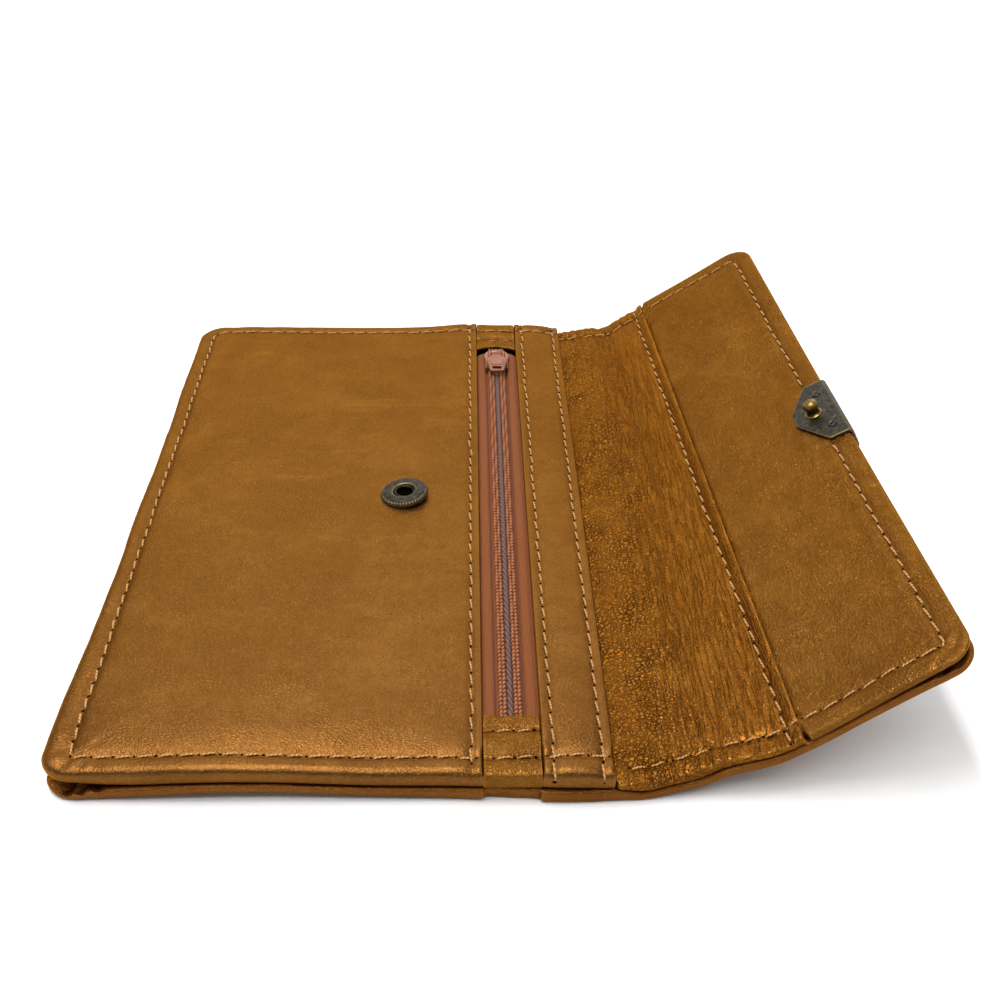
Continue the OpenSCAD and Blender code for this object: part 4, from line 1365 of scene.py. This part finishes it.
def pull():
    """The pull, with its eye round the slider's pin, a raised plate and a window near its tip."""
    tip = box("pull_tab")[0][1] - pull_pin[1]
    eye_half, wide, narrow = 1.45, 2.95, 2.1
    side = [(eye_half, 0.75), (eye_half, -1.9), (wide, -3.3), (wide, -4.6), (narrow, 0.5 + tip)]
    outline = [(-x, y) for x, y in side] + side[::-1]
    window = [(-1.35, 3.0 + tip), (1.35, 3.0 + tip), (1.35, 1.5 + tip), (-1.35, 1.5 + tip)]
    raised_plate = [(-1.7, -4.4), (1.7, -4.4), (1.55, 3.7 + tip), (-1.55, 3.7 + tip)]
    eye_profile = [(0.52, -eye_half), (0.95, -eye_half), (1.0, 0.15 - eye_half), (1.0, eye_half - 0.15),
                   (0.95, eye_half), (0.52, eye_half)]
    points, faces = lathe(eye_profile, (0, 0, 0), 24)
    eye = points[:, ::-1], [face[::-1] for face in faces]
    shape = joined([plate([softened(outline, 0.8), softened(window, 0.3, 3)], -0.5, 0.45, 0.2),
                    plate([softened(raised_plate, 0.5)], 0.3, 0.62, 0.12), eye])
    piece("zip_pull", upright(shape, (ZIP_X, pull_pin[1], pull_pin[2]), 3), SLIDER, "pull",
          stands_for=("pull_tab",), sharp=40)


# ---- snap and clasp ------------------------------------------------------------------------
def snap_pieces():
    """The snap's knurled ring, tilted as it sits in the soft leather, and a near-black disc low inside it as
    painted shade for its well.
    """
    radius, mouth, knurls = SNAP_RADIUS, 2.75, 44
    profile = [(mouth, -2.1), (mouth, 0.9), (mouth + 0.1, 1.25), (mouth + 0.3, 1.42), (mouth + 0.7, 1.5),
               (mouth + 1.3, 1.5), (mouth + 2.0, 1.42), (radius - 1.1, 1.26), (radius - 0.8, 1.16),
               (radius - 0.55, 1.16), (radius - 0.3, 1.02), (radius - 0.08, 0.7), (radius, 0.35),
               (radius - 0.08, 0.05), (radius - 0.5, -0.1), (mouth + 0.6, -0.1), (mouth + 0.6, -2.1)]
    points, faces = lathe(profile[::-1], (0, 0, 0), 264)
    rim = bump(np.hypot(points[:, 0], points[:, 1]) - radius + 0.4, 0.3) * smooth(points[:, 2])
    points[:, 2] += 0.11 * rim * np.cos(knurls * np.arctan2(points[:, 1], points[:, 0]))
    # A thin near-black disc low in the ring's mouth: painted shade for the well.
    well = lathe([(0, -1.9), (mouth + 0.3, -1.9), (mouth + 0.3, -2.1), (0, -2.1)][::-1], (0, 0, 0), 48)
    tilt = math.radians(-7)

    def set_in(shape):
        points, faces = shape
        x, z = points[:, 0].copy(), points[:, 2].copy()
        points[:, 0] = SNAP[0] + x * math.cos(tilt) + z * math.sin(tilt)
        points[:, 1] += SNAP[1]
        points[:, 2] = PANEL_TOP + 0.2 - x * math.sin(tilt) + z * math.cos(tilt)
        return points, faces

    piece("snap_ring", set_in((points, faces)), BRASS, rides="body",
          stands_for=("snap_socket",), sharp=45)
    piece("snap_well", set_in(well), HOLE_SHADE, rides="body")


def clasp_plate_shape():
    """The plate as one grid, bent round the flap's edge."""
    tip, deep, bend = 2.4, 5.6, 0.9     # half its point's width, the point's depth and the bend's radius
    height = PLATE_TOP - PLATE_BOTTOM - PLATE_T
    run, corner, down = PLATE_REACH - bend, math.pi * bend / 2, height - 2 * bend
    length, shoulder = 2 * (run + corner) + down, PLATE_REACH - deep
    points, faces = sheet(stations(0, length, 0.5), stations(-1, 1, 0.04), lambda x, y: 0 * x + PLATE_T / 2,
                          lambda x, y: 0 * x - PLATE_T / 2, (0.25, 0.25, 0.012), loops=6)
    along_it, width, n = points.T
    along_it = np.clip(along_it, 0, length)
    second_bend = run + corner + down
    first, second = (np.clip((along_it - start) / bend, 0, math.pi / 2) for start in (run, second_bend))
    ahead = np.minimum(along_it - run, 0) - np.maximum(along_it - second_bend - corner, 0)
    fallen = np.clip(along_it - run - corner, 0, down)
    s = FLAP_END + 0.1 + PLATE_T / 2 + ahead + bend * (np.sin(first) + np.cos(second) - 2)
    up = PLATE_TOP - PLATE_T / 2 - fallen + bend * (np.cos(first) - np.sin(second) - 1)
    from_tip = np.minimum(along_it, length - along_it) / shoulder
    half = tip + (PLATE_HALF - tip) * np.minimum(from_tip, 1)
    turn = first + second
    return np.column_stack([s + n * np.sin(turn), width * half, up + n * np.cos(turn)]), faces


def turned_over(shape, level):
    """A shape upside down, its zero level moved to the given one."""
    points, faces = shape
    return points * (1, 1, -1) + (0, 0, level), [face[::-1] for face in faces]


def clasp_pieces():
    """The clasp's bent plate, its rivets' heads on both faces, the ball stud and the cap behind it."""
    def on_clasp(name, shape, material, node, sharp):
        piece(name, on_flap(shape), material, "flap", stands_for=(node,), sharp=sharp)

    on_clasp("clasp_plate_metal", clasp_plate_shape(), BRASS, "clasp_plate", 35)
    head_profile = [(0, 0.12), (0.35, 0.13), (0.5, 0.24), (0.85, 0.36), (1.05, 0.26), (1.18, 0.05),
                    (1.18, -0.2), (0, -0.2)]
    slot_outline = softened([(-0.75, -0.14), (0.75, -0.14), (0.75, 0.14), (-0.75, 0.14)], 0.12, 3)
    rivets = []
    for side in (-1, 1):
        centre = (RIVET_S, side * RIVET_T, 0)
        rivets.append(lathe(head_profile[::-1], (*centre[:2], PLATE_TOP), 28))
        rivets.append(turned_over(lathe(head_profile[::-1], centre, 28), PLATE_BOTTOM))
        points, faces = plate([slot_outline], 0.1, 0.3, 0.05)
        turn = side * 0.5
        x, y, z = points.T
        turned = [x * math.cos(turn) - y * math.sin(turn), x * math.sin(turn) + y * math.cos(turn), z]
        rivets.append((np.column_stack(turned) + (*centre[:2], PLATE_TOP), faces))
    on_clasp("clasp_rivet_heads", joined(rivets), RIVET, "clasp_rivets", 40)

    ball = stud_points[:, 2].max() - PLATE_TOP
    profile = [(0, ball), (0.7, ball - 0.03), (1.3, ball - 0.22), (1.75, ball - 0.7), (1.92, ball - 1.35),
               (1.8, ball - 2.0), (1.5, ball - 2.5), (1.45, 0.75), (1.55, 0.4), (1.9, 0.24), (2.1, 0.1),
               (2.1, -0.3), (0, -0.3)]
    on_clasp("clasp_stud_ball", lathe(profile[::-1], (STUD_S, 0, PLATE_TOP), 48), STUD, "clasp_stud", 50)
    profile = [(0, 0.42), (1.2, 0.4), (2.0, 0.32), (2.4, 0.15), (2.5, -0.15), (0, -0.15)]
    cap = turned_over(lathe(profile[::-1], (STUD_S, 0, 0), 40), PLATE_BOTTOM)
    on_clasp("stud_cap", cap, BRASS, "stud_back_cap", 50)


def dress_frame_nodes():
    """Materials for the CAD nodes that stay inside the wallet."""
    finishes = {"card_slot_lining": CLOTH_PAINTED_SHADE, "zip_pocket_back": CLOTH_PAINTED_SHADE, "zip_pocket_front": CLOTH_PAINTED_SHADE,
                "zip_bottom_stop": STOPS, "zip_top_stops": STOPS, "snap_spring": STEEL, "snap_backing": STOPS}
    for node, material in finishes.items():
        mesh = frame["nodes"][node].data
        mesh.materials.clear()
        mesh.materials.append(material)


# ---- camera, light and floor ---------------------------------------------------------------
def camera():
    """The view of the photograph: from in front, looking down at 35 degrees."""
    data = bpy.data.cameras.new("Camera")
    data.lens, data.sensor_width = 45, 36
    data.clip_start, data.clip_end = 0.01, 20
    made = added("Camera", data)
    right, up = Vector((0.99957, -0.02218, 0.01925)), Vector((-0.00292, 0.57701, 0.81679))
    turned = Matrix((right, up, right.cross(up))).transposed().to_4x4()
    made.matrix_world = Matrix.Translation((0.0238, -0.2674, 0.196)) @ turned
    bpy.context.scene.camera = made


def softbox(name, place, size, watts):
    """A rectangular light that faces the wallet."""
    data = bpy.data.lights.new(name, "AREA")
    data.shape, data.energy = "RECTANGLE", watts
    data.size, data.size_y = size
    made = added(name, data)
    made.location = place
    made.rotation_euler = (-Vector(place)).to_track_quat("-Z", "Y").to_euler()


def studio():
    """Three soft lights in a white surround that is darker in front than behind."""
    world = bpy.data.worlds.new("Studio")
    world.use_nodes = True
    tree = world.node_tree
    direction = tree.nodes.new("ShaderNodeTexCoord")
    parts = tree.nodes.new("ShaderNodeSeparateXYZ")
    spread = tree.nodes.new("ShaderNodeMapRange")
    spread.interpolation_type = "SMOOTHSTEP"
    for key, value in ((1, -0.7), (2, 0.7), (3, 0.25), (4, 0.75)):
        spread.inputs[key].default_value = value
    background = tree.nodes["Background"].inputs
    background["Color"].default_value = (1, 1, 1, 1)
    tree.links.new(direction.outputs["Generated"], parts.inputs[0])
    tree.links.new(parts.outputs["Y"], spread.inputs[0])
    tree.links.new(spread.outputs[0], background["Strength"])
    bpy.context.scene.world = world
    bpy.context.scene.view_settings.view_transform = "Standard"
    softbox("Overhead", (-0.12, 0.0, 0.72), (0.5, 0.14), 4.8)
    softbox("Strip", (-0.05, -0.42, 0.75), (1.2, 0.12), 3)
    softbox("Rear", (0.1, 0.95, 0.66), (1.6, 0.7), 5.2)


def floor(level, size=6):
    """A plain white sheet under the wallet."""
    net = Net("Paper_floor", Specular_IOR_Level=0.1)
    grain = net.noise(net.node("ShaderNodeTexCoord", {}, "Object"), 90, 3)
    colour = net.ramp(grain, ((0.3, (250, 250, 250)), (0.7, (254, 254, 254))))
    net.finish(colour, net.spread(grain, 0, 1, 0.85, 0.95), net.bump(grain, 0.02, 0.2))
    mesh = bpy.data.meshes.new("Floor")
    corners = [(-size, -size, level), (size, -size, level), (size, size, level), (-size, size, level)]
    mesh.from_pydata(corners, [], [(0, 1, 2, 3)])
    mesh.materials.append(net.material)
    made = added("Floor", mesh)
    made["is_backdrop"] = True


camera()
shell_pieces()
panel_pieces()
fold_pieces()
flap_lining()
boards()
body_stitching()
fold_stitching()
flap_stitching()
zip_pieces()
slider()
pull()
snap_pieces()
clasp_pieces()
dress_frame_nodes()
studio()
floor(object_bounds()[0][2] - 0.00002)
